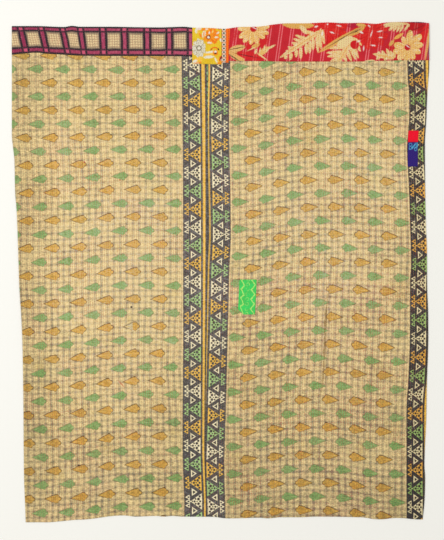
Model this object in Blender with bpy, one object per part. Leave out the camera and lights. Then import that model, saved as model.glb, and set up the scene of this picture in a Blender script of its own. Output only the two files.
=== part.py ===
"""Kantha quilt, laid flat: two old sari cloths side by side on a back cloth, patched and quilted.

The quilt is drawn in its own plan first: "across" runs from the left side to the right and "down"
from the highest point of the top hem to the bottom hem. +Z is up, and the empty that carries the
pieces puts the middle of the quilt on the origin, with its top hem towards +Y.

Every piece lies on one net of coarse columns and rows. The fine columns between them stand for the
rows of running stitch: two to a row, one on its ridge and one in its valley.
"""
from math import cos, pi, sin

import bmesh
import bpy
from mathutils import Vector

# Driving dimensions, in metres
WIDTH = 1.835
LENGTH = 2.200
BACK_THICKNESS = 0.0014
CLOTH_THICKNESS = 0.0010
PATCH_THICKNESS = 0.0008
PIECE_GAP = 0.0003
SEAM_GAP = 0.0004
BACK_INSET = 0.0010

# Quilting: rows of running stitch run down the quilt about 10 mm apart
RIDGE_HEIGHT = 0.0007
PATCH_RIDGE_HEIGHT = 0.0005
RIDGE_SPREAD = 0.15
RIDGE_WAVE_ACROSS = 1.7
RIDGE_WAVE_DOWN = 2.3
FINE_PER_COARSE = 16
LEFT_CELLS = 11
RIGHT_CELLS = 12

# Plan lines. Side lines: (down, across). Hems and the lower edge of the bands: (across, down).
LEFT_SIDE = (
    (0.000, 0.000), (0.484, 0.000), (0.537, 0.005), (0.590, 0.011), (0.748, 0.015), (0.801, 0.020),
    (0.959, 0.027), (1.170, 0.034), (1.276, 0.041), (1.382, 0.046), (1.593, 0.050), (1.857, 0.052),
    (2.015, 0.054), (2.121, 0.058), (2.200, 0.061),
)
SEAM_LINE = (
    (0.000, 0.862), (1.000, 0.862), (1.223, 0.859), (1.663, 0.852), (1.861, 0.851), (2.200, 0.856),
)
RIGHT_SIDE = (
    (0.000, 1.835), (0.172, 1.835), (0.326, 1.826), (0.431, 1.822), (0.537, 1.816), (0.713, 1.817),
    (0.907, 1.821), (1.012, 1.825), (1.170, 1.826), (1.276, 1.830), (1.382, 1.831), (1.593, 1.825),
    (1.751, 1.822), (1.962, 1.814), (2.015, 1.817), (2.121, 1.814), (2.200, 1.806),
)
TOP_HEM = (
    (0.000, 0.018), (0.106, 0.018), (0.229, 0.022), (0.264, 0.017), (0.300, 0.021), (0.440, 0.021),
    (0.546, 0.023), (0.651, 0.024), (0.757, 0.021), (0.796, 0.025), (0.862, 0.026), (0.933, 0.030),
    (1.003, 0.022), (1.074, 0.021), (1.109, 0.018), (1.144, 0.012), (1.214, 0.006), (1.285, 0.006),
    (1.390, 0.002), (1.461, 0.005), (1.531, 0.004), (1.602, 0.008), (1.637, 0.003), (1.707, 0.000),
    (1.790, 0.000), (1.835, 0.005),
)
BAND_EDGE = (
    (0.000, 0.144), (0.062, 0.139), (0.106, 0.135), (0.150, 0.140), (0.220, 0.144), (0.300, 0.149),
    (0.792, 0.152), (0.955, 0.172), (1.100, 0.173), (1.230, 0.175), (1.360, 0.175), (1.500, 0.175),
    (1.580, 0.173), (1.654, 0.171), (1.734, 0.169), (1.835, 0.169),
)
BOTTOM_HEM = (
    (0.061, 2.200), (0.150, 2.200), (0.211, 2.196), (0.282, 2.189), (0.317, 2.188), (0.458, 2.171),
    (0.493, 2.170), (0.546, 2.175), (0.634, 2.172), (0.669, 2.175), (0.704, 2.172), (0.748, 2.175),
    (0.880, 2.176), (0.950, 2.183), (1.091, 2.180), (1.126, 2.183), (1.179, 2.178), (1.267, 2.178),
    (1.338, 2.175), (1.443, 2.176), (1.549, 2.179), (1.584, 2.185), (1.619, 2.187), (1.690, 2.181),
    (1.725, 2.182), (1.760, 2.186), (1.813, 2.188),
)

# Rows of the net between the bands and the bottom hem. Two of them are pressed creases.
MIDDLE_ROWS = (0.414, 0.660, 0.834, 0.856, 0.878, 1.157, 1.311, 1.333, 1.355, 1.628, 1.905)
FIRST_ROW, BAND_ROW, FIRST_MIDDLE_ROW = 0, 1, 2
LAST_ROW = FIRST_MIDDLE_ROW + len(MIDDLE_ROWS)

# A band has one more row, where its lip meets the surface. Strips without ridges are counted by
# their upper row: the one under the bands on a sari cloth, and the lip on a band.
LIP = -1
UNDER_BANDS = 0
LIP_STRIP = 0

# Creases pressed across the right cloth where the quilt was folded. Each lies on a middle row.
CREASES = (
    # down   from    to     depth
    (0.856, 1.270, 1.835, 0.0006),
    (1.333, 0.937, 1.835, 0.0007),
)

# Soft billows, where the quilt stands a little off the surface under it
BILLOWS = (
    # name           across  down   reach_x  reach_y  height
    ("left_belly",   0.520,  1.090,  0.360,   0.450,  0.0050),
    ("left_fold",    0.080,  1.050,  0.110,   0.800,  0.0035),
    ("right_upper",  1.223,  0.740,  0.330,   0.350,  0.0040),
    ("right_middle", 1.373,  1.400,  0.160,   0.350,  0.0030),
    ("right_lower",  1.620,  1.880,  0.200,   0.270,  0.0030),
)

# One wrinkle stands up along the middle of the right cloth
WRINKLE_ACROSS = 1.373
WRINKLE_HALF_WIDTH = 0.011
WRINKLE_HEIGHT = 0.0050
WRINKLE_FROM_ROW, WRINKLE_TO_ROW = 7, 11

# Columns where the bands meet, counted in fine columns of the cloth under them
CHECK_BAND_END = 162
FLORAL_PATCH_END = 12
DOTTED_STRIP_END = 18
FLORAL_PATCH_BOTTOM = (0.184, 0.188)
DOTTED_STRIP_BOTTOM = 0.180

# Small mends on the right cloth: fine columns from and to, down from and to, and how many columns
# the lower end leans to the left
SMALL_PATCHES = {
    "green_patch": (28, 43, 1.133, 1.287, 1.3),
    "red_patch": (177, 186, 0.4785, 0.5290, 0.0),
    "blue_patch": (177, 186, 0.5294, 0.6365, 0.4),
}
GREEN_CUT_COLUMNS = 5
GREEN_CUT_DOWN = 0.024

COLOURS = {
    "backing": (0.60, 0.47, 0.28),
    "left_cloth": (0.62, 0.49, 0.27),
    "right_cloth": (0.60, 0.46, 0.25),
    "check_band": (0.26, 0.05, 0.13),
    "floral_patch": (0.85, 0.50, 0.03),
    "dotted_strip": (0.35, 0.10, 0.04),
    "red_band": (0.55, 0.02, 0.04),
    "green_patch": (0.02, 0.55, 0.08),
    "red_patch": (0.65, 0.01, 0.01),
    "blue_patch": (0.02, 0.02, 0.22),
}
CLOTH_ROUGHNESS = 0.92


def along(table, position):
    """Read a plan line: straight between the rows of its table, level past its ends."""
    before = table[0]
    for after in table:
        if after[0] >= position:
            span = after[0] - before[0]
            if span <= 0.0:
                return after[1]
            return before[1] + (after[1] - before[1]) * (position - before[0]) / span
        before = after
    return before[1]


def billow_lift(across, down):
    """Height of the underside above the surface that the quilt lies on."""
    lift = 0.0
    for _name, centre_x, centre_y, reach_x, reach_y, height in BILLOWS:
        off_x = abs(across - centre_x) / reach_x
        off_y = abs(down - centre_y) / reach_y
        if off_x < 1.0 and off_y < 1.0:
            lift += height * (cos(pi / 2 * off_x) * cos(pi / 2 * off_y)) ** 2
    return lift


def crease_depth(across, row):
    """Depth pressed into the upper face at a row of the net."""
    for down, start, end, depth in CREASES:
        if row == MIDDLE_ROWS.index(down) + FIRST_MIDDLE_ROW and start <= across <= end:
            return depth
    return 0.0


class Half:
    """The net under one of the two sari cloths."""

    def __init__(self, near_side, far_side, cells, near_gap, far_gap):
        self.fine = cells * FINE_PER_COARSE
        self.nodes = []
        for cell in range(cells + 1):
            column = []
            for row in range(LAST_ROW + 1):
                share = cell / cells
                near = along(near_side, self.nominal_down(row)) + near_gap
                far = along(far_side, self.nominal_down(row)) - far_gap
                across = near + (far - near) * share
                down = self.row_down(row, across)
                column.append(Vector((across, -down, billow_lift(across, down))))
            self.nodes.append(column)

    @staticmethod
    def nominal_down(row):
        """Down of a row before the hems give it its shape."""
        if row == FIRST_ROW:
            return 0.0
        if row == BAND_ROW:
            return BAND_EDGE[0][1]
        if row == LAST_ROW:
            return LENGTH
        return MIDDLE_ROWS[row - FIRST_MIDDLE_ROW]

    def row_down(self, row, across):
        """Down of a row where it crosses one column."""
        if row == FIRST_ROW:
            return along(TOP_HEM, across)
        if row == BAND_ROW:
            return along(BAND_EDGE, across)
        if row == LAST_ROW:
            return along(BOTTOM_HEM, across)
        return self.nominal_down(row)

    def column_point(self, fine, row):
        """A net point on a fine column and a whole row."""
        cell = min(int(fine // FINE_PER_COARSE), len(self.nodes) - 2)
        share = fine / FINE_PER_COARSE - cell
        return self.nodes[cell][row].lerp(self.nodes[cell + 1][row], share)

    def spot(self, fine, row):
        """A net point on a fine column, at a row that may lie between two whole rows."""
        lower = min(int(row), LAST_ROW - 1)
        start = self.column_point(fine, lower)
        return start.lerp(self.column_point(fine, lower + 1), row - lower)

    def row_at(self, fine, down):
        """The row, whole or part, at which a fine column reaches a given down."""
        for row in range(LAST_ROW):
            start = -self.column_point(fine, row).y
            end = -self.column_point(fine, row + 1).y
            if start <= down <= end:
                return row + (down - start) / (end - start)
        return float(LAST_ROW)


def ridge(fine, row, height):
    """Height of the quilting over its valleys: odd fine columns lie on the ridges."""
    if fine % 2 == 0:
        return 0.0
    wave = sin(RIDGE_WAVE_ACROSS * fine + RIDGE_WAVE_DOWN * row)
    return height * (1.0 + RIDGE_SPREAD * wave)


def wrinkle(across, row):
    """Extra height along the standing wrinkle."""
    off = abs(across - WRINKLE_ACROSS) / WRINKLE_HALF_WIDTH
    if off >= 1.0 or not WRINKLE_FROM_ROW < row < WRINKLE_TO_ROW:
        return 0.0
    return WRINKLE_HEIGHT * cos(pi / 2 * off) ** 2


# Heights above the net: back cloth, sari cloths, then the bands and mends on the cloths' ridges
CLOTH_UNDER = BACK_THICKNESS + PIECE_GAP
CLOTH_VALLEY = CLOTH_UNDER + CLOTH_THICKNESS
CLOTH_CREST = CLOTH_VALLEY + RIDGE_HEIGHT * (1.0 + RIDGE_SPREAD)
PATCH_UNDER = CLOTH_CREST + PIECE_GAP
PATCH_VALLEY = PATCH_UNDER + PATCH_THICKNESS


def thin_out(mesh, kept_columns, plain_strips):
    """Dissolve fine columns where no ridge shows: the underside, the walls and plain strips."""
    column = mesh.verts.layers.int["column"]
    row = mesh.verts.layers.int["row"]
    upper = mesh.verts.layers.int["upper"]
    edges = []
    for edge in mesh.edges:
        first, second = edge.verts
        if first[column] != second[column] or first[column] in kept_columns:
            continue
        both_upper = first[upper] and second[upper]
        if not both_upper or min(first[row], second[row]) in plain_strips:
            edges.append(edge)
    bmesh.ops.dissolve_edges(mesh, edges=edges, use_verts=True)
    bmesh.ops.triangulate(mesh, faces=mesh.faces[:], quad_method="SHORT_EDGE")


def add_sheet(name, columns, rows, place, kept_columns, plain_strips=()):
    """One closed sheet: a grid with its points placed, made thick, and thinned where it is plain.

    place(column, row, is_upper) gives the point of one face of the sheet. A plain strip is named
    by its place in the order of the rows, counted from its upper row.
    """
    mesh = bmesh.new()
    across_count = len(columns) - 1
    down_count = len(rows) - 1
    bmesh.ops.create_grid(mesh, x_segments=across_count, y_segments=down_count, size=0.5)
    column = mesh.verts.layers.int.new("column")
    row = mesh.verts.layers.int.new("row")
    upper = mesh.verts.layers.int.new("upper")
    for vert in mesh.verts:
        vert[column] = columns[round((vert.co.x + 0.5) * across_count)]
        vert[row] = round((0.5 - vert.co.y) * down_count)
    made = bmesh.ops.extrude_face_region(mesh, geom=mesh.faces[:])
    for item in made["geom"]:
        if isinstance(item, bmesh.types.BMVert):
            item[upper] = 1
    for vert in mesh.verts:
        vert.co = place(vert[column], rows[vert[row]], bool(vert[upper]))
    thin_out(mesh, kept_columns, plain_strips)
    bmesh.ops.recalc_face_normals(mesh, faces=mesh.faces[:])

    data = bpy.data.meshes.new(name)
    mesh.to_mesh(data)
    mesh.free()
    data.materials.append(cloth_material(name))
    piece = bpy.data.objects.new(name, data)
    return piece


def cloth_material(name):
    """A plain cotton finish in the piece's own colour."""
    material = bpy.data.materials.new(name)
    material.use_nodes = True
    shader = material.node_tree.nodes["Principled BSDF"]
    shader.inputs["Base Color"].default_value = (*COLOURS[name], 1.0)
    shader.inputs["Roughness"].default_value = CLOTH_ROUGHNESS
    shader.inputs["Metallic"].default_value = 0.0
    return material


def raised(point, height):
    """A net point lifted by a height."""
    return Vector((point.x, point.y, point.z + height))


def coarse_columns(start, end):
    """The coarse columns in a stretch of fine ones, and its two ends."""
    return {fine for fine in range(start, end + 1) if fine % FINE_PER_COARSE == 0} | {start, end}


def make_backing(left, right):
    """The back cloth with the worn cloths inside it, one sheet under both saris."""
    left_cells = [cell * FINE_PER_COARSE for cell in range(LEFT_CELLS)]
    right_cells = [left.fine + cell * FINE_PER_COARSE for cell in range(RIGHT_CELLS + 1)]
    columns = left_cells + right_cells
    last = columns[-1]

    def place(column, row, is_upper):
        if column < left.fine:
            point = left.spot(column, row)
        else:
            point = right.spot(column - left.fine, row)
        if column == 0:
            point.x += BACK_INSET
        if column == last:
            point.x -= BACK_INSET
        if row == FIRST_ROW:
            point.y -= PATCH_THICKNESS + PIECE_GAP
        if row == LAST_ROW:
            point.y += BACK_INSET
        return raised(point, BACK_THICKNESS if is_upper else 0.0)

    return add_sheet("backing", columns, range(LAST_ROW + 1), place, set(columns))


def make_cloth(name, half):
    """One sari cloth with its quilting raised on it; its top lies under the bands."""

    def place(column, row, is_upper):
        point = half.spot(column, row)
        if row == FIRST_ROW:
            point.y -= PATCH_THICKNESS + PIECE_GAP
        if not is_upper:
            return raised(point, CLOTH_UNDER)
        height = CLOTH_VALLEY + wrinkle(point.x, row)
        if row >= BAND_ROW:
            height += ridge(column, row, RIDGE_HEIGHT)
        return raised(point, height - crease_depth(point.x, row))

    columns = range(half.fine + 1)
    kept = coarse_columns(0, half.fine)
    return add_sheet(name, columns, range(LAST_ROW + 1), place, kept, {UNDER_BANDS})


def band_place(spot, row_of, near, far, side_gaps):
    """Points of a band that lies on the cloth and turns down over the top hem to the surface."""

    def place(column, row, is_upper):
        point = spot(column, row_of(column, max(row, 0)))
        if column == near:
            point.x += side_gaps[0]
        if column == far:
            point.x -= side_gaps[1]
        if row == LIP:
            point.z = 0.0
        elif is_upper:
            point.z += PATCH_VALLEY + ridge(column, row, PATCH_RIDGE_HEIGHT)
        else:
            point.z += PATCH_UNDER
        if row <= FIRST_ROW and not is_upper:
            point.y -= PATCH_THICKNESS
        return point

    return place


def make_band(name, half, start, end, side_gaps):
    """A band along the top hem of one cloth."""
    place = band_place(half.spot, lambda column, row: row, start, end, side_gaps)
    rows = (LIP, FIRST_ROW, BAND_ROW)
    kept = coarse_columns(start, end)
    return add_sheet(name, range(start, end + 1), rows, place, kept, {LIP_STRIP})


def make_dotted_strip(right):
    """The narrow strip beside the floral patch; it reaches a little further down than the bands."""
    start, end = FLORAL_PATCH_END, DOTTED_STRIP_END

    def row_of(column, row):
        return row if row <= BAND_ROW else right.row_at(column, DOTTED_STRIP_BOTTOM)

    place = band_place(right.spot, row_of, start, end, (PIECE_GAP / 2, PIECE_GAP / 2))
    rows = (LIP, FIRST_ROW, BAND_ROW, BAND_ROW + 1)
    return add_sheet("dotted_strip", range(start, end + 1), rows, place, {start, end}, {LIP_STRIP})


def make_floral_patch(left, right):
    """The patch at the middle of the top hem, which spans the seam of the two cloths."""
    start = CHECK_BAND_END
    end = left.fine + FLORAL_PATCH_END
    edge_start, edge_end = FLORAL_PATCH_BOTTOM

    def spot(column, row):
        if column < left.fine:
            return left.spot(column, row)
        return right.spot(column - left.fine, row)

    def row_of(column, row):
        if row <= BAND_ROW:
            return row
        down = edge_start + (edge_end - edge_start) * (column - start) / (end - start)
        if column < left.fine:
            return left.row_at(column, down)
        return right.row_at(column - left.fine, down)

    place = band_place(spot, row_of, start, end, (PIECE_GAP / 2, PIECE_GAP / 2))
    kept = {start, left.fine, end}
    rows = (LIP, FIRST_ROW, BAND_ROW, BAND_ROW + 1)
    return add_sheet("floral_patch", range(start, end + 1), rows, place, kept, {LIP_STRIP})


def make_small_patch(name, half):
    """A mend laid on the cloth's ridges, with the quilting sewn through it."""
    start, end, down_start, down_end, lean = SMALL_PATCHES[name]
    cut_end = start + GREEN_CUT_COLUMNS
    rows = [down_start, down_end]
    for down in MIDDLE_ROWS:
        if down_start < down < down_end:
            rows.insert(1, down)

    def place(column, down, is_upper):
        height = PATCH_VALLEY + ridge(column, down, PATCH_RIDGE_HEIGHT)
        leaning = column - lean * (down - down_start) / (down_end - down_start)
        if name == "green_patch" and column < cut_end and down == down_end:
            down -= GREEN_CUT_DOWN * (cut_end - column) / GREEN_CUT_COLUMNS
        point = half.spot(leaning, half.row_at(leaning, down))
        return raised(point, height if is_upper else PATCH_UNDER)

    kept = coarse_columns(start, end) | {cut_end}
    return add_sheet(name, range(start, end + 1), rows, place, kept)


def main():
    for old in list(bpy.data.objects):
        bpy.data.objects.remove(old, do_unlink=True)

    left = Half(LEFT_SIDE, SEAM_LINE, LEFT_CELLS, 0.0, SEAM_GAP / 2)
    right = Half(SEAM_LINE, RIGHT_SIDE, RIGHT_CELLS, SEAM_GAP / 2, 0.0)
    half_gap = PIECE_GAP / 2
    pieces = [
        make_backing(left, right),
        make_cloth("left_cloth", left),
        make_cloth("right_cloth", right),
        make_band("check_band", left, 0, CHECK_BAND_END, (0.0, half_gap)),
        make_floral_patch(left, right),
        make_dotted_strip(right),
        make_band("red_band", right, DOTTED_STRIP_END, right.fine, (half_gap, 0.0)),
    ]
    pieces += [make_small_patch(name, right) for name in SMALL_PATCHES]

    quilt = bpy.data.collections.new("kantha_quilt")
    bpy.context.scene.collection.children.link(quilt)
    plan = bpy.data.objects.new("plan", None)
    plan.location = (-WIDTH / 2, LENGTH / 2, 0.0)
    quilt.objects.link(plan)
    for piece in pieces:
        quilt.objects.link(piece)
        piece.parent = plan


main()
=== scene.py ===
"""Kantha quilt, laid flat: two printed sari cloths side by side on a back cloth, mended with bands
and patches along the top and quilted through with rows of running stitch.

Places on the quilt are plan coordinates in metres: "across" from the left side and "down" from the
highest point of the top hem. Columns are counted in rows of running stitch. The packed model gives
the solids that every piece here stands for, and all of them keep its frame: +Y is the top hem.
"""
from functools import reduce

import bmesh
import bpy
import numpy as np
from bpy.props import FloatProperty, FloatVectorProperty, IntProperty, PointerProperty
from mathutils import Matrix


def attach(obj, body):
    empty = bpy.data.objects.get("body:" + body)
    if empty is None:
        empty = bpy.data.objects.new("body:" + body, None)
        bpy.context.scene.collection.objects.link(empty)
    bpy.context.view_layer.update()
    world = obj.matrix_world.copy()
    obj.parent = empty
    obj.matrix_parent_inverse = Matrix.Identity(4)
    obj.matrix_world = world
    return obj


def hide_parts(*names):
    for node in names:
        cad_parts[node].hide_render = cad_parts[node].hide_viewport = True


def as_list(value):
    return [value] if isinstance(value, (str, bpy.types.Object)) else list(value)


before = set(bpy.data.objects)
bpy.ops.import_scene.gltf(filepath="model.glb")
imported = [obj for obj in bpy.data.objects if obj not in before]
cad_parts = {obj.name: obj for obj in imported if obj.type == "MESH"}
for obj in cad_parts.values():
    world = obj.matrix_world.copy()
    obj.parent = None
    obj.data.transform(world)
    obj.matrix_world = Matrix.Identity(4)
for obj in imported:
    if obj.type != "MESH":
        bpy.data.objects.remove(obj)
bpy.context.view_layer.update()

bl_info = {
    "name": "Kantha quilt",
    "version": (1, 0, 0),
    "blender": (4, 5, 0),
    "location": "3D View > Sidebar > Quilt",
    "description": "Builds a hand-stitched kantha quilt piece by piece",
    "category": "Add Mesh",
}

# Driving sizes, in metres, as the solids have them
WIDTH = 1.835
LENGTH = 2.200
BACK_THICKNESS = 0.0014
CLOTH_THICKNESS = 0.0010
PATCH_THICKNESS = 0.0008
PIECE_GAP = 0.0003
SEAM_GAP = 0.0004
EDGE_INSET = 0.0010
RIDGE_HEIGHT = 0.0007
PATCH_RIDGE_HEIGHT = 0.0005
RIDGE_SPREAD = 0.15
LEFT_STITCH_ROWS = 88
RIGHT_STITCH_ROWS = 96
STITCH_ROW_PITCH = 0.0101

# The print: its unit, how far a leaf's middle is from its tip in that unit, and where a border ends
# towards the field, in depths of its triangles
PRINT_UNIT = 0.0044
LEAF_MIDDLE = 7.7
FIELD_EDGE = 1.53
WEAVE_PITCH = 0.0011
FULL_TURN = 6.2832

# Heights over the underside of the quilt
CLOTH_UNDER = BACK_THICKNESS + PIECE_GAP
CLOTH_VALLEY = CLOTH_UNDER + CLOTH_THICKNESS
PATCH_UNDER = CLOTH_VALLEY + RIDGE_HEIGHT * (1.0 + RIDGE_SPREAD) + PIECE_GAP
PATCH_VALLEY = PATCH_UNDER + PATCH_THICKNESS

# Plan lines. Side lines: (down, across). Hems and the lower edge of the bands: (across, down).
LEFT_SIDE = (
    (0.000, 0.000), (0.484, 0.000), (0.537, 0.005), (0.590, 0.011), (0.748, 0.015), (0.801, 0.020),
    (0.959, 0.027), (1.170, 0.034), (1.276, 0.041), (1.382, 0.046), (1.593, 0.050), (1.857, 0.052),
    (2.015, 0.054), (2.121, 0.058), (2.200, 0.061),
)
SEAM_LINE = (
    (0.000, 0.862), (1.000, 0.862), (1.223, 0.859), (1.663, 0.852), (1.861, 0.851), (2.200, 0.856),
)
RIGHT_SIDE = (
    (0.000, 1.835), (0.172, 1.835), (0.326, 1.826), (0.431, 1.822), (0.537, 1.816), (0.713, 1.817),
    (0.907, 1.821), (1.012, 1.825), (1.170, 1.826), (1.276, 1.830), (1.382, 1.831), (1.593, 1.825),
    (1.751, 1.822), (1.962, 1.814), (2.015, 1.817), (2.121, 1.814), (2.200, 1.806),
)
TOP_HEM = (
    (0.000, 0.018), (0.106, 0.018), (0.229, 0.022), (0.264, 0.017), (0.300, 0.021), (0.440, 0.021),
    (0.546, 0.023), (0.651, 0.024), (0.757, 0.021), (0.796, 0.025), (0.862, 0.026), (0.933, 0.030),
    (1.003, 0.022), (1.074, 0.021), (1.109, 0.018), (1.144, 0.012), (1.214, 0.006), (1.285, 0.006),
    (1.390, 0.002), (1.461, 0.005), (1.531, 0.004), (1.602, 0.008), (1.637, 0.003), (1.707, 0.000),
    (1.790, 0.000), (1.835, 0.005),
)
BAND_EDGE = (
    (0.000, 0.144), (0.062, 0.139), (0.106, 0.135), (0.150, 0.140), (0.220, 0.144), (0.300, 0.149),
    (0.792, 0.152), (0.955, 0.172), (1.100, 0.173), (1.230, 0.175), (1.360, 0.175), (1.500, 0.175),
    (1.580, 0.173), (1.654, 0.171), (1.734, 0.169), (1.835, 0.169),
)
BOTTOM_HEM = (
    (0.061, 2.200), (0.150, 2.200), (0.211, 2.196), (0.282, 2.189), (0.317, 2.188), (0.458, 2.171),
    (0.493, 2.170), (0.546, 2.175), (0.634, 2.172), (0.669, 2.175), (0.704, 2.172), (0.748, 2.175),
    (0.880, 2.176), (0.950, 2.183), (1.091, 2.180), (1.126, 2.183), (1.179, 2.178), (1.267, 2.178),
    (1.338, 2.175), (1.443, 2.176), (1.549, 2.179), (1.584, 2.185), (1.619, 2.187), (1.690, 2.181),
    (1.725, 2.182), (1.760, 2.186), (1.813, 2.188),
)

# Soft billows, where the quilt stands a little off the surface under it
BILLOWS = (
    # across  down   reach_x  reach_y  height
    (0.520,   1.090,  0.360,   0.450,  0.0050),
    (0.080,   1.050,  0.110,   0.800,  0.0035),
    (1.223,   0.740,  0.330,   0.350,  0.0040),
    (1.373,   1.400,  0.160,   0.350,  0.0030),
    (1.620,   1.880,  0.200,   0.270,  0.0030),
)

# Creases pressed across the quilt where it was folded
CREASES = (
    # down   from    to      depth
    (0.414,  0.905,  1.090,  0.0005),
    (0.700,  0.120,  0.760,  0.0003),
    (0.856,  1.270,  1.835,  0.0006),
    (1.333,  0.880,  1.835,  0.0007),
    (1.660,  0.660,  0.860,  0.0004),
)
CREASE_WIDTH = 0.0045

# Wrinkles that stand up: from one end to the other, half the width, and the height
WRINKLES = (
    # across  down   across  down   width   height
    (1.3730,  1.170,  1.3745,  1.630,  0.0110,  0.0050),
    (0.0480,  0.560,  0.0560,  1.750,  0.0140,  0.0012),
    (0.0250,  0.030,  0.1550,  0.150,  0.0070,  0.0014),
    (0.0300,  0.060,  0.0900,  0.300,  0.0080,  0.0012),
    (1.8200,  0.020,  1.7450,  0.150,  0.0080,  0.0014),
    (1.8100,  0.060,  1.7900,  0.330,  0.0070,  0.0012),
    (1.3300,  0.960,  1.3050,  1.080,  0.0080,  0.0009),
)

# Columns where the bands meet, and the mends, counted in stitch rows of the cloth under them
CHECK_BAND_END = 81
FLORAL_PATCH_END = 6
DOTTED_STRIP_END = 9
FLORAL_PATCH_BOTTOM = (0.184, 0.188)
DOTTED_STRIP_BOTTOM = 0.180
MENDS = {
    # name          from   to     top     bottom  lean
    "green_patch": (14.0,  21.5,  1.1330, 1.2870, 0.65),
    "red_patch":   (88.5,  93.0,  0.4785, 0.5290, 0.00),
    "blue_patch":  (88.5,  93.0,  0.5294, 0.6365, 0.20),
}
# The green mend's lower left corner is cut off: how many columns wide, and how far up
GREEN_CUT_COLUMNS = 2.5
GREEN_CUT_DOWN = 0.024

# Printed leaves stand on a slanting lattice: how far down its numbered rows cross each place across,
# and how far across its numbered columns cross each place down
LEAF_ROWS = (0, 4, 8, 12, 16)
LEFT_LEAF_DOWNS = (
    # across  row 0   row 4   row 8   row 12   row 16
    (0.1056,  0.2080, 0.6931, 1.1808, 1.6700, 2.1615),
    (0.2244,  0.2095, 0.6892, 1.1766, 1.6656, 2.1573),
    (0.3432,  0.2094, 0.6853, 1.1693, 1.6545, 2.1483),
    (0.4664,  0.2121, 0.6784, 1.1600, 1.6449, 2.1345),
    (0.5852,  0.2100, 0.6774, 1.1581, 1.6375, 2.1306),
    (0.7040,  0.2095, 0.6786, 1.1610, 1.6389, 2.1285),
)
LEFT_LEAF_COLUMNS = (-0.5, 0, 1.25, 2.5, 3.75, 5)
LEFT_LEAF_ACROSS = (
    # down    at each column
    (0.2068,  0.0433, 0.1031, 0.2507, 0.3981, 0.5503, 0.6999),
    (0.3256,  0.0483, 0.1077, 0.2548, 0.4036, 0.5550, 0.7027),
    (0.4400,  0.0486, 0.1083, 0.2565, 0.4065, 0.5580, 0.7061),
    (0.5632,  0.0562, 0.1137, 0.2593, 0.4101, 0.5602, 0.7080),
    (0.6864,  0.0636, 0.1208, 0.2663, 0.4163, 0.5645, 0.7112),
    (0.8100,  0.0649, 0.1214, 0.2668, 0.4161, 0.5635, 0.7116),
    (0.9300,  0.0642, 0.1208, 0.2661, 0.4145, 0.5615, 0.7094),
    (1.0600,  0.0617, 0.1195, 0.2649, 0.4139, 0.5622, 0.7090),
    (1.1792,  0.0623, 0.1200, 0.2642, 0.4133, 0.5638, 0.7089),
    (1.2900,  0.0653, 0.1221, 0.2655, 0.4126, 0.5599, 0.7043),
    (1.4080,  0.0651, 0.1215, 0.2648, 0.4105, 0.5572, 0.6991),
    (1.5312,  0.0611, 0.1182, 0.2619, 0.4078, 0.5555, 0.6963),
    (1.6544,  0.0598, 0.1169, 0.2631, 0.4108, 0.5592, 0.7036),
    (1.7732,  0.0659, 0.1226, 0.2680, 0.4139, 0.5605, 0.7061),
    (1.8964,  0.0692, 0.1256, 0.2713, 0.4165, 0.5623, 0.7084),
    (2.0196,  0.0699, 0.1269, 0.2726, 0.4197, 0.5665, 0.7136),
    (2.1472,  0.0669, 0.1246, 0.2690, 0.4170, 0.5647, 0.7119),
)
RIGHT_LEAF_DOWNS = (
    # across  row 0   row 4   row 8   row 12   row 16
    (0.9988,  0.2012, 0.6755, 1.1497, 1.6276, 2.1089),
    (1.1176,  0.1850, 0.6600, 1.1377, 1.6160, 2.0958),
    (1.2364,  0.1673, 0.6427, 1.1215, 1.6045, 2.0876),
    (1.3552,  0.1575, 0.6347, 1.1134, 1.5992, 2.0870),
    (1.4696,  0.1532, 0.6339, 1.1150, 1.6034, 2.0945),
    (1.5840,  0.1603, 0.6398, 1.1207, 1.6141, 2.1086),
    (1.6984,  0.1618, 0.6432, 1.1253, 1.6179, 2.1131),
)
RIGHT_LEAF_COLUMNS = (0, 1.5, 3, 4.5, 6)
RIGHT_LEAF_ACROSS = (
    # down    at each column
    (0.2000,  1.0038, 1.1800, 1.3579, 1.5308, 1.7035),
    (0.3000,  1.0029, 1.1812, 1.3608, 1.5355, 1.7058),
    (0.4200,  1.0004, 1.1819, 1.3645, 1.5405, 1.7099),
    (0.5400,  0.9982, 1.1813, 1.3642, 1.5405, 1.7091),
    (0.6600,  1.0009, 1.1836, 1.3654, 1.5387, 1.7091),
    (0.7800,  1.0023, 1.1842, 1.3668, 1.5399, 1.7164),
    (0.9000,  1.0034, 1.1857, 1.3676, 1.5416, 1.7181),
    (1.0000,  1.0039, 1.1859, 1.3685, 1.5428, 1.7191),
    (1.1200,  0.9977, 1.1780, 1.3622, 1.5378, 1.7158),
    (1.2400,  0.9923, 1.1735, 1.3574, 1.5328, 1.7114),
    (1.3600,  0.9895, 1.1721, 1.3549, 1.5306, 1.7087),
    (1.4800,  0.9833, 1.1680, 1.3487, 1.5249, 1.7021),
    (1.6100,  0.9776, 1.1627, 1.3418, 1.5200, 1.6980),
    (1.7300,  0.9769, 1.1606, 1.3395, 1.5191, 1.6941),
    (1.8600,  0.9791, 1.1609, 1.3411, 1.5189, 1.6929),
    (1.9800,  0.9798, 1.1604, 1.3425, 1.5189, 1.6934),
    (2.1000,  0.9822, 1.1630, 1.3446, 1.5206, 1.6937),
)

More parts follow.
